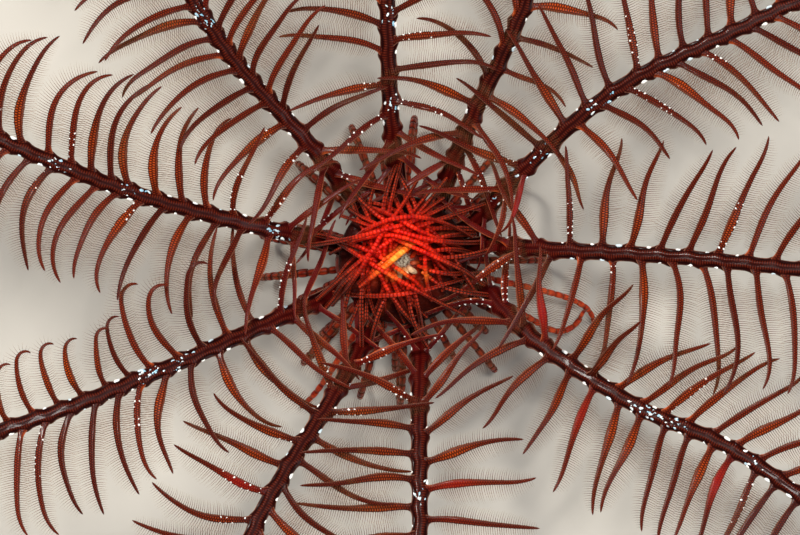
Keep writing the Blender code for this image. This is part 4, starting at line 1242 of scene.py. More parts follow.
def add_arm(shape, course, pinnules, spot):
    """Adds the arm itself: scalloped sides, a groove that sways to each pinnule, joints below."""
    fine = np.arange(0, FINE_REACH, ARM_RING_STEPS[0])
    coarse = np.arange(FINE_REACH, course.length - 0.05, ARM_RING_STEPS[1])
    places = np.concatenate((fine, coarse, (course.length,)))
    centres, ahead, left, upper = course.frames(places)
    at = places[:, None]
    half = between(ARM_HALF_WIDTHS, at) * np.sqrt(np.clip((course.length - at) / ARM_TIP, 0.004, 1))
    near = {}
    for side in (1, -1):
        roots = np.array([pinnule["distance"] for pinnule in pinnules if pinnule["side"] == side])
        near[side] = np.exp(-(((at - roots) / SCALLOP["reach"]) ** 2)).sum(axis=1)[:, None]
    reach = {side: half * (SCALLOP["width"] + SCALLOP["swell"] * share) for side, share in near.items()}
    angles = np.array(ARM_TURNS, float)
    cosine, sine = np.cos(np.radians(angles)), np.sin(np.radians(angles))
    x = cosine * np.where(cosine > 0, reach[1], reach[-1])
    y = sine * np.where(sine > 0, ARM_ABOVE, ARM_BELOW) * half
    away = (x - GROOVE_SWAY * half * np.clip(near[1] - near[-1], -1, 1)) / half
    aside = np.abs(away)
    on_top = np.clip(sine * 3, 0, 1)
    ridges = bump(aside, *RIDGE) * on_top
    branch = np.where(away > 0, near[1], near[-1]) ** 4 * bump(aside, *BRANCH)
    groove = np.maximum(bump(away, *GROOVE), 0.8 * branch) * on_top
    pits = bump(aside, *PITS) * on_top * np.where(x > 0, 1 - near[1], 1 - near[-1]).clip(0, 1)
    row = np.round(at / BRACHIAL)
    wedge = BRACHIAL_SLANT * np.where(row % 2 == 0, 1, -1) * x / half
    seam = bump(at - row * BRACHIAL - wedge * BRACHIAL, 0.0, np.where(at < FINE_REACH, *SEAM_REACHES))
    seam = seam * np.clip(-sine * 2, 0, 1)
    y = y + half * (
        ARM_RELIEF["ridge"] * ridges - ARM_RELIEF["groove"] * groove - ARM_RELIEF["pit"] * pits
    )
    y = y * (1 - ARM_RELIEF["seam_below"] * seam)
    x = x * (1 - ARM_RELIEF["seam_aside"] * seam)
    # Painted shade near the disc: darker skin, and fainter rows of granules
    base = bump(at, *ARM_BASE_SHADE)
    values = skin_values(
        tone=0.45 * (1 - 0.9 * base),
        band=(1 - 0.8 * base) * 0.62 * bump(aside, *GRANULE_ROWS) * on_top,
        edge=bump(np.degrees(np.arcsin(sine)), *ARM_EDGE_HIGHLIGHT) * (1 - 0.8 * np.clip(near[1] + near[-1], 0, 1)),
        under=np.clip(-sine * 1.8, 0, 1),
        blush=0.14 * bump(at, *ARM_BLUSH),
        link=at / BRACHIAL - wedge,
        # Painted shade in the pits beside the pinnules, and a little in the groove
        pit=np.clip(pits + 0.25 * groove, 0, 1),
    )
    section = np.stack((x, y), axis=-1)[None]
    sweep(shape, centres[None], (left[None], upper[None]), section, angles, at.T, np.array([spot]), values)


def foot_points(data, step, chance):
    """Roots, directions, bows and sizes of the tube feet on swept pinnules."""
    rows = []
    table = data["table"]
    rings = np.arange(data["lines"].shape[1])
    for index, length in enumerate(table["length"]):
        grown_share = between(FOOT_SHARES, table["distance"][index])
        places = np.arange(FOOT_FIRST, length * FOOT_LAST, step)
        if grown_share == 0 or not len(places):
            continue
        share = places / length
        spot = share * rings[-1]
        line, ahead, distal, above = [
            np.stack([np.interp(spot, rings, data[key][index][:, axis]) for axis in range(3)], axis=-1)
            for key in ("lines", "ahead", "distal", "above")
        ]
        wide = np.interp(spot, rings, data["wide"][index])[:, None]
        bow = FOOT_BOW_WAY["ahead"] * ahead + FOOT_BOW_WAY["up"] * above
        size = grown_share * FOOT_LENGTH * np.sqrt(np.clip(1 - share**3, 0.05, 1))
        size = size * np.clip(share * 4, 0.4, 1) * np.clip(length / PINNULE_FULL, 0.4, 1)
        for side in (1, -1):
            stray = chance.normal(0, 1, (len(places), 3))
            lie = side * distal + (FOOT_LIE["up"] + FOOT_LIE["stray_up"] * stray[:, :1]) * above
            lie = lie + (FOOT_LIE["ahead"] + FOOT_LIE["stray_ahead"] * stray[:, 1:2]) * ahead
            root = line + distal * wide * FOOT_ROOT["aside"] * side + above * wide * FOOT_ROOT["up"]
            rows.append((root, unit(lie), unit(bow), size * (1 + FOOT_LIE["stray_size"] * stray[:, 2])))
    return [np.concatenate(column) for column in zip(*rows)]


def grow_feet(name, groups, tree, finish, chance):
    """Tube feet of one arm: fine ones near the disc and coarser ones farther out, joined."""
    pieces = []
    for order, (data, step, segments) in enumerate(groups):
        roots, lies, bows, sizes = foot_points(data, step, chance)
        corners = map_corners(len(roots), 0.5 * order, 0.5 * order + 0.5)
        size = np.repeat((sizes * MM)[:, None], 3, axis=1)
        values = {"lie_way": lies, "bow_way": bows, "size": size, "root": corners}
        mesh = point_mesh(name + "_points", roots, values)
        given = {"Radius": FOOT_RADIUS / FOOT_LENGTH, "Bow": FOOT_BOW, "Segments": segments, "Finish": finish}
        pieces.append(grown(f"{name}_{order}", mesh, tree, given))
    return joined(name, pieces)


def joined(name, pieces):
    """Several objects as one piece."""
    for piece in bpy.context.selected_objects:
        piece.select_set(False)
    for piece in pieces:
        piece.select_set(True)
    whole = pieces[0]
    bpy.context.view_layer.objects.active = whole
    bpy.ops.object.join()
    whole.name = whole.data.name = name
    whole.select_set(False)
    return whole


def sheen_fleck_points(courses):
    """Thin blue-white flecks scattered on top of the arms as painted sheen: root, lie, upper side, size
    and blueness.
    """
    chance = np.random.default_rng(SEED)
    rows = []
    tables = {name: course.at(np.arange(3, 40, 0.1)) for name, course in courses.items()}
    for (x, y), count, spread in SHEEN_FLECKS:
        gaps = {name: np.hypot(table[:, 0] - x, table[:, 1] - y) for name, table in tables.items()}
        name = min(gaps, key=lambda key: gaps[key].min())
        middle = 3 + 0.1 * int(gaps[name].argmin())
        distances = chance.normal(middle, spread, count)
        asides = chance.uniform(-0.75, 0.75, count)
        turns = chance.uniform(-0.8, 0.8, count)
        for distance, aside, turn in zip(distances, asides, turns):
            point, ahead, left, upper = courses[name].frames(distance)
            half = float(between(ARM_HALF_WIDTHS, distance))
            height = ARM_ABOVE * math.sqrt(1 - aside**2) * 0.9
            root = point + left * aside * half * 0.86 + upper * height * half
            size = np.array((SHEEN_FLECK["thick"], SHEEN_FLECK["wide"], SHEEN_FLECK["long"])) * chance.uniform(0.4, 1.4)
            way = unit(ahead + turn * left)
            rows.append((root, way, upper + 0.8 * aside * left, size, chance.uniform(0.1, 1.0)))
    return rows


def pearl_glint_points(course, pinnules, data, chance):
    """White beads in the armpits of the pinnules, partly glands and partly painted glints, and rows of
    painted glints along the lower part of some, as for flecks.
    """
    rows = []
    for pinnule in pinnules:
        point, ahead, left, upper = course.frames(pinnule["distance"] - PEARL_GLINT_BACK)
        half = between(ARM_HALF_WIDTHS, pinnule["distance"])
        if chance.random() < PEARL_GLINT_CHANCES["gland"]:
            root = point + pinnule["side"] * left * half * 0.8 + upper * half * 0.2
            size = PEARL_GLINT["long"] * chance.uniform(0.35, 1.1) * np.array((0.42, 0.46, 1.0))
            rows.append((root, ahead, upper, size, chance.choice((0.0, 0.0, 0.15, 0.5))))
    table = data["table"]
    last_ring = data["lines"].shape[1] - 1
    for index, (length, distance) in enumerate(zip(table["length"], table["distance"])):
        if chance.random() >= PEARL_GLINT_CHANCES["far" if distance > PEARL_GLINT_CHANCES["beyond"] else "near"]:
            continue
        last = chance.uniform(0.25, 0.6) * length
        for place in np.arange(0.9, last, GLINT_ROW_STEP):
            ring = place / length * last_ring
            low = int(ring)
            keys = ("wide", "ahead", "distal", "above")
            wide, ahead, distal, above = [data[key][index, low] for key in keys]
            for side in (1, -1) if chance.random() < PEARL_GLINT_CHANCES["both"] else (1,):
                if chance.random() < PEARL_GLINT_CHANCES["gap"]:
                    continue
                first, second = data["lines"][index, low : low + 2]
                centre = first + (second - first) * (ring - low)
                root = centre + distal * wide * 0.72 * side + above * wide * 0.5
                size = PEARL_GLINT["wide"] * chance.uniform(0.5, 1.1) * np.ones(3)
                rows.append((root, ahead, above, size, chance.choice((0.0, 0.0, 0.1))))
    return rows


def build_arms(plans, courses, trees, finishes):
    """Each arm with its pinnules is one skin; its tube feet are a piece of their own."""
    pearl_glints = []
    for order, (name, course) in enumerate(courses.items()):
        chance = np.random.default_rng(SEED + order)
        fine = [pinnule for pinnule in plans[name] if pinnule["distance"] < FINE_REACH]
        coarse = [pinnule for pinnule in plans[name] if pinnule["distance"] >= FINE_REACH]
        spots = map_spots(len(fine) + len(coarse), 0.14, 1.0)
        shape = Shape()
        add_arm(shape, course, plans[name], (0.01, 0.02, 0.98, 0.1))
        near = add_pinnules(shape, course, fine, PINNULE_RINGS[0], spots[: len(fine)])
        far = add_pinnules(shape, course, coarse, PINNULE_RINGS[1], spots[len(fine) :])
        nodes = [f"{name}_{part}" for part in ARM_PARTS]
        place(shape.made(name + "_skin", finishes["skin"]), "arms", nodes)
        groups = zip((near, far), FOOT_STEPS, FOOT_SEGMENTS)
        feet = grow_feet(name + "_tube_feet", groups, trees["threads"], finishes["foot"], chance)
        place(feet, "arms", nodes)
        pearl_glints += pearl_glint_points(course, plans[name], near, chance)
    pearl_glints += sheen_fleck_points(courses)
    roots, lies, ups, sizes, blues = [np.array(column, float) for column in zip(*pearl_glints)]
    corners = map_corners(len(roots), 0, 1)
    values = {"lie_way": lies, "bow_way": ups, "size": sizes * MM, "root": corners, "blue": blues}
    mesh = point_mesh("pearl_glint_points", roots, values)
    place(grown("pearl_glints", mesh, trees["beads"], {"Finish": finishes["pearl_glint"]}), "arms", [])


def place(piece, slot, nodes):
    """The piece rides on the star's only body and stands for the nodes; the slot is not used."""
    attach(piece, "root")
    if nodes:
        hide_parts(*nodes)


def oral_line(course, order, oral, lift, shift):
    """An oral pinnule: up from the arm base, past the mouth, and down on the far side."""
    root, ahead, left, upper = course.frames(oral[1])
    inward = -unit(root * (1, 1, 0))
    side = 1 if order % 2 else -1
    stand = root + UP * ORAL_STAND["up"] + inward * ORAL_STAND["in"] + ORAL_STAND["aside"] * side * left
    passed = np.array(oral[2]) + unit(np.array(oral[2])) * shift
    first, last = stand[:2], np.array(oral[3])
    near, far = np.linalg.norm(passed - first), np.linalg.norm(last - passed)
    middle = near / (near + far)
    pull = (passed - first * (1 - middle) ** 2 - last * middle**2) / (2 * middle * (1 - middle))
    start_way = unit(np.append(pull - first, 0.0))
    line = [stand - start_way * ORAL_STAND["foot_back"] - UP * ORAL_STAND["foot_down"], stand]
    heights = ((ORAL_INNER["from"], ORAL_INNER["height"]), (ORAL_INNER["to"], stand[2] + ORAL_TIP_RISE))
    tip_height = between(heights, np.linalg.norm(last))
    for share in np.arange(1, ORAL_SEGMENTS) / (ORAL_SEGMENTS - 1):
        arch = 1 - (2 * share**ORAL_ARCH_LEAD - 1) ** 2
        height = stand[2] + (ORAL_CROWN + lift - stand[2]) * arch + share * (tip_height - stand[2])
        spot = first * (1 - share) ** 2 + pull * 2 * share * (1 - share) + last * share**2
        line.append((*spot, height))
    return np.array(line)


def highlight_band_share(points):
    """How near points lie, in plan, to the two pale bands beside the mouth that paint a highlight on
    the oral pinnules.
    """
    share = np.zeros(len(points))
    for band in HIGHLIGHT_BANDS:
        course = smooth_line([(*spot, 0.0) for spot in band], 12)[:, :2]
        gaps = np.linalg.norm(points[:, None, :2] - course[None], axis=2).min(axis=1)
        share = np.maximum(share, np.exp(-((gaps / HIGHLIGHT_REACH) ** 2)))
    return share


def eased_apart(lines, radii, still):
    """The lines bent round each other, bit by bit, until their rods lie clear. Still points stay."""
    owners = np.repeat(np.arange(len(lines)), [len(line) for line in lines])
    points = np.concatenate(lines)
    start = points.copy()
    starts = np.flatnonzero(owners[:-1] == owners[1:])
    first, second = np.triu_indices(len(starts), 1)
    first, second = starts[first], starts[second]
    middles = (points[:-1] + points[1:]) / 2
    near = np.linalg.norm(middles[first] - middles[second], axis=1) < EASE["watch"]
    pick = near & (owners[first] != owners[second]) & ~(still[first] & still[second])
    first, second = first[pick], second[pick]
    room = radii[owners[first]] + radii[owners[second]] + EASE["gap"]
    inner = np.flatnonzero((owners[:-2] == owners[2:])) + 1
    for _ in range(EASE["rounds"]):
        own, other = points[first + 1] - points[first], points[second + 1] - points[second]
        way, on_own, on_other = shortest(points[first], own, points[second], other)
        distance = np.maximum(np.linalg.norm(way, axis=1), TINY)
        push = np.clip(room - distance, 0, EASE["most"]) * EASE["share"]
        push = way / distance[:, None] * push[:, None]
        moves = np.zeros_like(points)
        for index, share in ((first, 1 - on_own), (first + 1, on_own)):
            np.add.at(moves, index, push * share[:, None])
        for index, share in ((second, 1 - on_other), (second + 1, on_other)):
            np.add.at(moves, index, -push * share[:, None])
        shift = points + moves - start
        shift[inner] += EASE["smooth"] * ((shift[inner - 1] + shift[inner + 1]) / 2 - shift[inner])
        shift[:, 2] = np.maximum(shift[:, 2], -EASE["sink"])
        shift[still] = 0
        points = start + shift
    return [points[owners == order] for order in range(len(lines))]


class Rods:
    """Lines that jointed rods are grown along, gathered with their values."""

    def __init__(self, count):
        self.spots = map_spots(count, 0, 1)
        self.columns = {}
        self.edges = []
        self.count = 0
        self.lines = 0

    def add(self, line, girth, lit, lip):
        """Adds a line, and its half widths in mm, painted light and pale painted highlight at its points."""
        across, up, wide = self.spots[self.lines][:3]
        along = across + wide * np.linspace(0, 1, len(line))
        root = np.column_stack((along, np.full(len(line), up), np.zeros(len(line))))
        values = {"points": line, "root": root, "girth": girth * MM, "lit": lit, "lip": lip}
        for name, value in values.items():
            self.columns.setdefault(name, []).append(value)
        self.edges += [(self.count + step, self.count + step + 1) for step in range(len(line) - 1)]
        self.count += len(line)
        self.lines += 1

    def grown(self, name, tree, link, finish):
        """The rods as one piece, of joints with this length, overlap and waist."""
        columns = {key: np.concatenate(parts) for key, parts in self.columns.items()}
        mesh = point_mesh(name + "_lines", columns.pop("points"), columns, self.edges)
        sizes = {"Length": link["length"] * MM, "Overlap": link["overlap"], "Waist": link["waist"]}
        return grown(name, mesh, tree, {**sizes, "Finish": finish})


def oral_courses(courses):
    """Lines of the oral pinnules, those seen across the mouth first, eased apart."""
    lines = [np.array(line) for line, paleness, girth in ORALS_SEEN]
    radii = [ORAL_HALF_WIDTH * girth for line, paleness, girth in ORALS_SEEN]
    pole = np.linspace((0, 0, DISC_UNDER), (0, 0, 2 * DISC_UNDER), ORAL_SEGMENTS)
    standing = Room()
    for line, radius in zip([pole[[0, -1]], *lines], [MOUTH_ROOM, *radii]):
        standing.add(line, radius, "placed")
    for order, oral in enumerate(ORALS):
        best = (-math.inf, 0.0, 0.0)
        for lift, shift in itertools.product(ORAL_LIFTS, ORAL_SHIFTS):
            line = oral_line(courses[oral[0]], order, oral, lift, shift)
            gap = standing.clearance(line[1:], ORAL_HALF_WIDTH, "new")
            best = max(best, (gap, lift, shift))
            if gap > ORAL_GAP:
                break
        lines.append(oral_line(courses[oral[0]], order, oral, *best[1:]))
        radii.append(ORAL_HALF_WIDTH)
        standing.add(lines[-1], ORAL_HALF_WIDTH, "placed")
    still = [np.full(len(line), True) for line in lines[: len(ORALS_SEEN)]]
    still += [np.arange(len(line)) < 2 for line in lines[len(ORALS_SEEN) :]]
    still.append(np.full(len(pole), True))
    return eased_apart([*lines, pole], np.array([*radii, MOUTH_ROOM]), np.concatenate(still))[:-1]


def build_oral_pinnules(courses, tree, finish):
    """Red rods of many joints that arch over the disc, bent round each other."""
    rods = Rods(len(ORALS) + len(ORALS_SEEN))
    looks = [(paleness, girth) for line, paleness, girth in ORALS_SEEN] + [(0.0, 1.0)] * len(ORALS)
    for line, (paleness, girth) in zip(oral_courses(courses), looks):
        dense = smooth_line(line, 6)
        share = np.linspace(0, 1, len(dense))
        taper = ORAL_GIRTH["start"] - ORAL_GIRTH["fall"] * share ** ORAL_GIRTH["power"]
        # Painted light: a lit pool about the mouth, with painted shade beyond it
        away = np.linalg.norm(dense[:, :2] - ORAL_LIGHT_POOL["place"], axis=1)
        lit = np.exp(-((away / ORAL_LIGHT_POOL["reach"]) ** 4))
        # Painted highlight: pale where the rods cross the bands beside the mouth, and along the rods seen
        # across it
        seen = paleness * bump(np.hypot(dense[:, 0], dense[:, 1]), 0.7, 1.1)
        lip = np.clip(highlight_band_share(dense) * 0.4 * (paleness == 0) + seen, 0, 1)
        rods.add(dense, girth * ORAL_HALF_WIDTH * taper, lit, lip)
    place(rods.grown("oral_pinnules", tree, ORAL_LINK, finish), "oral_pinnules", ["calyx"])


def turned_form(shape, profile, corners, height_of, values_of):
    """Adds a closed form turned about the axis; its radius, height and values may vary by azimuth."""
    azimuths = np.arange(corners) * 360 / corners
    rings = len(profile)
    radius, height = np.repeat(np.array(profile).T[:, :, None], corners, axis=2)
    radius, height = height_of(radius, height, azimuths[None])
    angle = np.radians(azimuths)[None]
    points = np.stack((radius * np.cos(angle), radius * np.sin(angle), height), axis=-1)
    quads, index = ring_faces(1, rings, corners)
    turns = np.append(azimuths, 360.0) / 360
    along = np.cumsum(np.concatenate(((0,), np.hypot(*np.diff(np.array(profile), axis=0).T))))
    lie = corner_map(along[None], turns)
    bake = corner_map(np.linspace(0.02, 0.98, rings)[None], 0.02 + turns * 0.96)
    caps = np.stack((index[0, 0, ::-1], index[0, -1]))
    cap_bake = np.zeros((2, corners, 2))
    cap_bake[1, :, 0] = 0.99
    cap_bake[:, :, 1] = 0.02 + turns[:-1] * 0.96
    values = values_of(radius, azimuths[None])
    values = {key: np.broadcast_to(value, radius.shape).ravel() for key, value in values.items()}
    cap_lie = np.zeros((2, corners, 2))
    shape.add(points.reshape(-1, 3), (quads, caps), (lie, cap_lie), (bake, cap_bake), values)


def azimuth_gap(azimuths, centre):
    return (azimuths - centre + 180) % 360 - 180


def add_lips(shape):
    """Adds the soft lobes that ring the mouth."""
    share = np.linspace(0, 1, 9)
    angles, round_form = circle(12)
    lines, sections = [], []
    for azimuth, _, length, wide in LIPS:
        radius = LIP_STAND["radius"] + length * share
        height = LIP_STAND["height"] + LIP_STAND["rise"] * np.sin(math.pi * share) - LIP_STAND["fall"] * share
        turned = azimuth + LIP_STAND["turn"] * share
        lines.append([polar(*spot) for spot in zip(radius, turned, height)])
        girth = wide * np.sqrt(np.clip(1 - (2 * share - 0.9) ** 2 / 1.25, 0.02, 1))
        sections.append(round_form[None] * girth[:, None, None])
    paleness = np.array([lip[1] for lip in LIPS])[:, None, None]
    values = {"groove": 0.0, "mouth": 0.0, "flush": 0.9, "lip": paleness}
    lines = np.array(lines)
    along = np.array([share * 0.8] * len(LIPS))
    spots = map_spots(len(LIPS), 0.0, 0.018)
    sweep(shape, lines, across_lines(lines)[1:], np.array(sections), angles, along, spots, values)


def add_anal_cone(shape):
    """Adds the soft cone with a frilled end, beside the mouth."""
    foot = polar(ANAL_CONE["radius"], ANAL_CONE["azimuth"], DISC_CROWN - 0.9)
    rise = np.linspace(0, 1, 14)
    lean = 0.15 * rise[:, None] ** 2 * polar(1, ANAL_CONE["azimuth"], 0)
    centres = foot + UP * (ANAL_CONE["height"] * rise[:, None]) + lean
    angles, round_form = circle(18)
    wide = ANAL_CONE["width"] * (1.1 - 0.45 * rise) * np.where(rise > 0.93, 0.7, 1)
    frill = 1 + 0.12 * np.cos(np.radians(angles) * 6)[None] * rise[:, None]
    section = round_form[None] * (wide[:, None] * frill)[..., None]
    sides = [np.broadcast_to(side, centres[None].shape) for side in np.eye(3)[:2]]
    values = {"groove": (0.3 * rise)[None, :, None], "mouth": 0.0, "flush": 0.3, "lip": 0.0}
    spots = np.array([(0.0, 0.985, 0.2, 0.01)])
    sweep(shape, centres[None], sides, section[None], angles, rise[None], spots, values)


def build_disc(finish):
    """The disc: a soft dome with grooves from the mouth to each arm, lips, and the anal cone."""
    arm_azimuths = [(arm[0], arm[1][0]) for arm in ARMS.values()]

    def grooves(radius, azimuths):
        total = np.zeros(np.broadcast(radius, azimuths).shape)
        for ray, own in arm_azimuths:
            share = np.clip((radius - DISC_GROOVE["parts"]) / DISC_GROOVE["reach"], 0, 1)
            course = ray + azimuth_gap(own, ray) * share
            aside = np.radians(azimuth_gap(azimuths, course)) * radius
            total = np.maximum(total, bump(aside, 0, DISC_GROOVE["width"]))
        return total

    def heights(radius, height, azimuths):
        top = height > DISC_UNDER + 0.4
        groove = grooves(radius, azimuths)
        turn = np.radians(azimuths)
        lumps = DISC_RELIEF["lumps"] * np.sin(radius * 7 + turn * 9) * np.sin(turn * 23)
        raised = DISC_RELIEF["rim"] * bump(groove, 0.45, 0.25) - DISC_RELIEF["floor"] * bump(groove, 1, 0.3)
        raised = np.where(radius < MOUTH_RADIUS, DISC_RELIEF["mouth"], raised + lumps)
        lobes = 1 + 0.07 * bump(groove, 1, 0.6) * (radius > 3)
        mound = MOUND["height"] * bump(radius, 0, MOUND["reach"])
        return radius * lobes, height + np.where(top, raised + mound, 0)

    def values(radius, azimuths):
        groove = bump(grooves(radius, azimuths), 0.6, 0.35) * np.clip((radius - 0.4) * 2, 0, 1)
        return {
            "groove": 0.85 * groove * np.clip((4.2 - radius) / 2, 0, 1),
            "mouth": np.clip(1.6 * bump(radius, 0, MOUTH_RADIUS + 0.08), 0, 1),
            # Painted light about the mouth
            "flush": bump(radius, 0, MOUND["lit"]),
            "lip": 0.0,
        }

    dome = DISC_DOME
    profile = list(DISC_SIDE)
    for radius in np.linspace(dome["outer"], dome["inner"], dome["rings"]):
        profile.append((radius, DISC_CROWN - dome["fall"] * (radius / dome["reach"]) ** dome["power"]))
    profile += [(radius, DISC_CROWN - depth) for radius, depth in DISC_MOUTH]
    shape = Shape()
    turned_form(shape, profile, 120, heights, values)
    add_lips(shape)
    add_anal_cone(shape)
    place(shape.made("disc_skin", finish), "disc", ["disc"])


def build_cup(finish):
    """The cup of radials below the disc, and the plates on which two arms leave each ray."""

    def near_rays(azimuths):
        return sum(bump(azimuth_gap(azimuths, ray), 0, 17) for ray in RAYS)

    def heights(radius, height, azimuths):
        return radius * (0.86 + 0.22 * near_rays(azimuths)), height

    def values(radius, azimuths):
        # Painted shade between the rays
        pit = 0.8 * (1 - np.clip(near_rays(azimuths) * 1.6, 0, 1))
        return skin_values(tone=0.2, under=1.0, link=0.5, pit=pit)

    shape = Shape()
    turned_form(shape, CUP_PROFILE, 100, heights, values)
    share = np.linspace(0, 1, RAY["rings"])
    angles, round_form = circle(24)
    wide, tall, link = [between(RAY[key], share) for key in ("widths", "heights", "links")]
    seam = np.exp(-((((link + 0.5) % 1 - 0.5) / 0.13) ** 2))
    form = round_form * (np.stack((wide, tall), axis=-1) * (1 - 0.1 * seam)[:, None])[:, None]
    lines = np.array([smooth_line([polar(out, ray, up) for out, up in RAY["course"]], 12) for ray in RAYS])
    picks = np.linspace(0, lines.shape[1] - 1, RAY["rings"]).round().astype(int)
    lines = lines[:, picks]
    count = len(RAYS)
    under = np.clip(0.35 - round_form[:, 1] * 1.2, 0, 1)
    plates = skin_values(tone=0.2, under=under, link=link[None, :, None])
    sections = np.broadcast_to(form, (count, *form.shape))
    along = np.broadcast_to(share * 3, (count, len(share)))
    spots = map_spots(count, 0.0, 0.018)
    sweep(shape, lines, across_lines(lines)[1:], sections, angles, along, spots, plates)
    place(shape.made("cup_skin", finish), "oral_pinnules", ["calyx"])


def cirrus_azimuth(row, index):
    return 360 * index / row["count"] + CIRRUS_STRAY["azimuth"] * math.sin(index * 2.4)


def cirrus_line(row, index):
    """A cirrus: out from the button, down to the floor, and hooked in at its claw."""
    azimuth = cirrus_azimuth(row, index)
    sideways = CIRRUS_STRAY["sideways"] * math.sin(index * 1.7)
    point = np.array((CIRRUS_ROOT, row["height"]))
    line = [polar(point[0], azimuth, point[1])]
    for step in range(CIRRUS_STEPS):
        share = (step + 0.5) / CIRRUS_STEPS
        down = math.radians(row["first"] + row["turn"] * share**CIRRUS_BEND_POWER)
        point = point + row["length"] / CIRRUS_STEPS * np.array((math.cos(down), -math.sin(down)))
        line.append(polar(point[0], azimuth + sideways * share, point[1]))
    line = np.array(line)
    if row["stands"]:
        drop = line[0][2] - line[:, 2].min()
        line[:, 2] = line[0][2] - (line[0][2] - line[:, 2]) * (line[0][2] - CIRRUS_LOWEST) / drop
    return line


def add_claws(shape, lines):
    """Adds a curved claw at the end of each cirrus, and the small spine that faces it."""
    forms = []
    rings = CLAW["rings"]
    share = np.linspace(0, 1, rings)
    turn = np.radians(CLAW["bend"] * share)[:, None]
    for line in lines:
        ahead = unit(line[-1] - line[-4])
        bend = ahead - unit(line[-6] - line[-10])
        bend = bend - ahead * (bend @ ahead)
        if np.linalg.norm(bend) < 0.02:
            bend = np.cross(ahead, np.cross(-line[-1] * (1, 1, 0), ahead))
        bend = unit(bend)
        side = np.cross(ahead, bend)
        steps = CLAW["length"] / (rings - 1) * (np.cos(turn) * ahead + np.sin(turn) * bend)
        claw = line[-1] - ahead * 0.15 + np.vstack((np.zeros(3), np.cumsum(steps, axis=0)[:-1]))
        forms.append((claw, CLAW["girth"] * (1 - 0.97 * share**1.3), side))
        spine = line[-1] - ahead * 0.2 + share[:, None] * CLAW["spine"] * (bend + 0.35 * ahead)
        forms.append((spine, CLAW["spine_girth"] * (1 - 0.95 * share), side))
    angles, round_form = circle(8)
    centres, girths, sides = [np.array(column) for column in zip(*forms)]
    across = np.broadcast_to(unit(sides)[:, None], centres.shape)
    above = np.cross(unit(np.gradient(centres, axis=1)), across)
    sections = round_form[None, None] * girths[..., None, None]
    along = np.broadcast_to(share, centres.shape[:2])
    values = skin_values(tone=0.5, edge=0.25 * share[None, :, None], under=0.6, link=0.5)
    sweep(shape, centres, (across, above), sections, angles, along, map_spots(len(forms), 0.0, 0.018), values)


def build_cirri(tree, finish, skin):
    """Jointed hooks in three rows about the button, the lowest parts of the first row on the floor."""
    stands = [(row, index) for row in CIRRUS_ROWS for index in range(row["count"])]
    lines = [("usual", smooth_line(cirrus_line(row, index), 3)) for row, index in stands]
    lines += [("seen", smooth_line([polar(*spot) for spot in spots], 16)) for spots in CIRRI_SEEN]
    rods = Rods(len(lines))
    for look, line in lines:
        lit, thick = CIRRUS_LOOKS[look]
        girth = between(CIRRUS_GIRTHS, np.linspace(0, 1, len(line)))
        rods.add(line, CIRRUS_HALF_WIDTH * girth * thick, np.full(len(line), lit), np.zeros(len(line)))
    place(rods.grown("cirri", tree, CIRRUS_LINK, finish), "cirri", ["centrodorsal"])

    def heights(radius, height, azimuths):
        sockets = np.zeros(np.broadcast(radius, azimuths).shape)
        for row, index in stands:
            aside = np.radians(azimuth_gap(azimuths, cirrus_azimuth(row, index))) * radius
            sockets = np.maximum(sockets, np.exp(-(aside**2 + (height - row["height"]) ** 2) / 0.1))
        return radius * (1 + 0.12 * bump(sockets, 0.35, 0.3)), height

    shape = Shape()
    values = skin_values(tone=0.2, under=1.0, link=0.5)
    turned_form(shape, BUTTON_PROFILE, 96, heights, lambda radius, azimuths: values)
    add_claws(shape, [line for look, line in lines])
    place(shape.made("centrodorsal_skin", skin), "cirri", ["centrodorsal"])


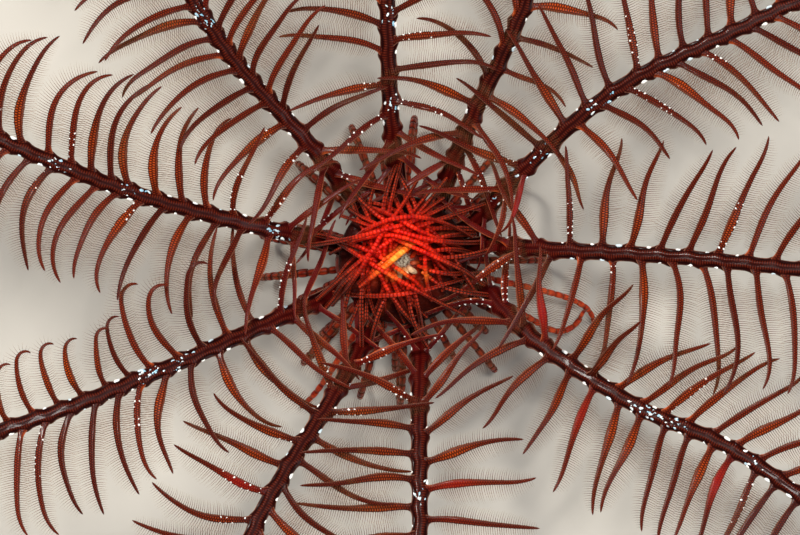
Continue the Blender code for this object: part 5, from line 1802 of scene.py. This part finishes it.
def build_stage():
    """Pale floor, soft lights and the camera straight above."""
    bpy.ops.mesh.primitive_plane_add(size=FLOOR_SIZE, location=(0, 0, 0))
    floor = bpy.context.object
    floor.name = "floor"
    floor.data.materials.append(floor_material())
    floor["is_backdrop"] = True
    world = bpy.data.worlds.new("studio")
    bpy.context.scene.world = world
    world.use_nodes = True
    sky = world.node_tree.nodes["Background"].inputs
    sky[0].default_value = SKY["colour"]
    sky[1].default_value = SKY["strength"]
    for name, (spot, size, power, tint) in LAMPS.items():
        lamp = bpy.data.lights.new(name, "AREA")
        lamp.size = size
        lamp.energy = power
        lamp.color = tint
        holder = put(name, lamp)
        holder.location = spot
        holder.rotation_euler = Vector(LAMP_AIM - np.array(spot)).to_track_quat("-Z", "Y").to_euler()
    camera = bpy.data.cameras.new("view")
    camera.sensor_width = SENSOR
    camera.lens = SENSOR * VIEW_DISTANCE / (PHOTO_WIDTH * PIXEL)
    camera.clip_start = 0.01
    camera.clip_end = 10.0
    holder = put("view", camera)
    off_x = (PHOTO_WIDTH / 2 - AXIS_PIXEL[0]) * PIXEL
    off_y = (AXIS_PIXEL[1] - PHOTO_HEIGHT / 2) * PIXEL
    holder.location = (AXIS + np.array((off_x, off_y, VIEW_PLANE + VIEW_DISTANCE))) * MM
    bpy.context.scene.camera = holder
    bpy.context.scene.view_settings.view_transform = "Standard"


def main():
    groups = {"granules": granules_group(), "grain": grain_group()}
    finishes = {
        "skin": skin_material(groups),
        "foot": foot_material(),
        "pearl_glint": pearl_glint_material(),
        "oral": joint_material("oral_joints", ORAL_TONES, groups),
        "cirrus": joint_material("cirrus_joints", CIRRUS_TONES, groups),
        "disc": disc_material(groups),
    }
    trees = {"threads": threads_tree(), "beads": beads_tree(), "links": links_tree()}
    build_stage()
    courses = {name: arm_course(name) for name in ARMS}
    plans = plan_pinnules(Room(), courses)
    build_arms(plans, courses, trees, finishes)
    build_oral_pinnules(courses, trees["links"], finishes["oral"])
    build_disc(finishes["disc"])
    build_cup(finishes["skin"])
    build_cirri(trees["links"], finishes["cirrus"], finishes["skin"])


main()
visual_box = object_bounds()
boxes = {"cad": cad_box, "visual": visual_box}
{name: [list(map(float, corner)) for corner in box] for name, box in boxes.items()}
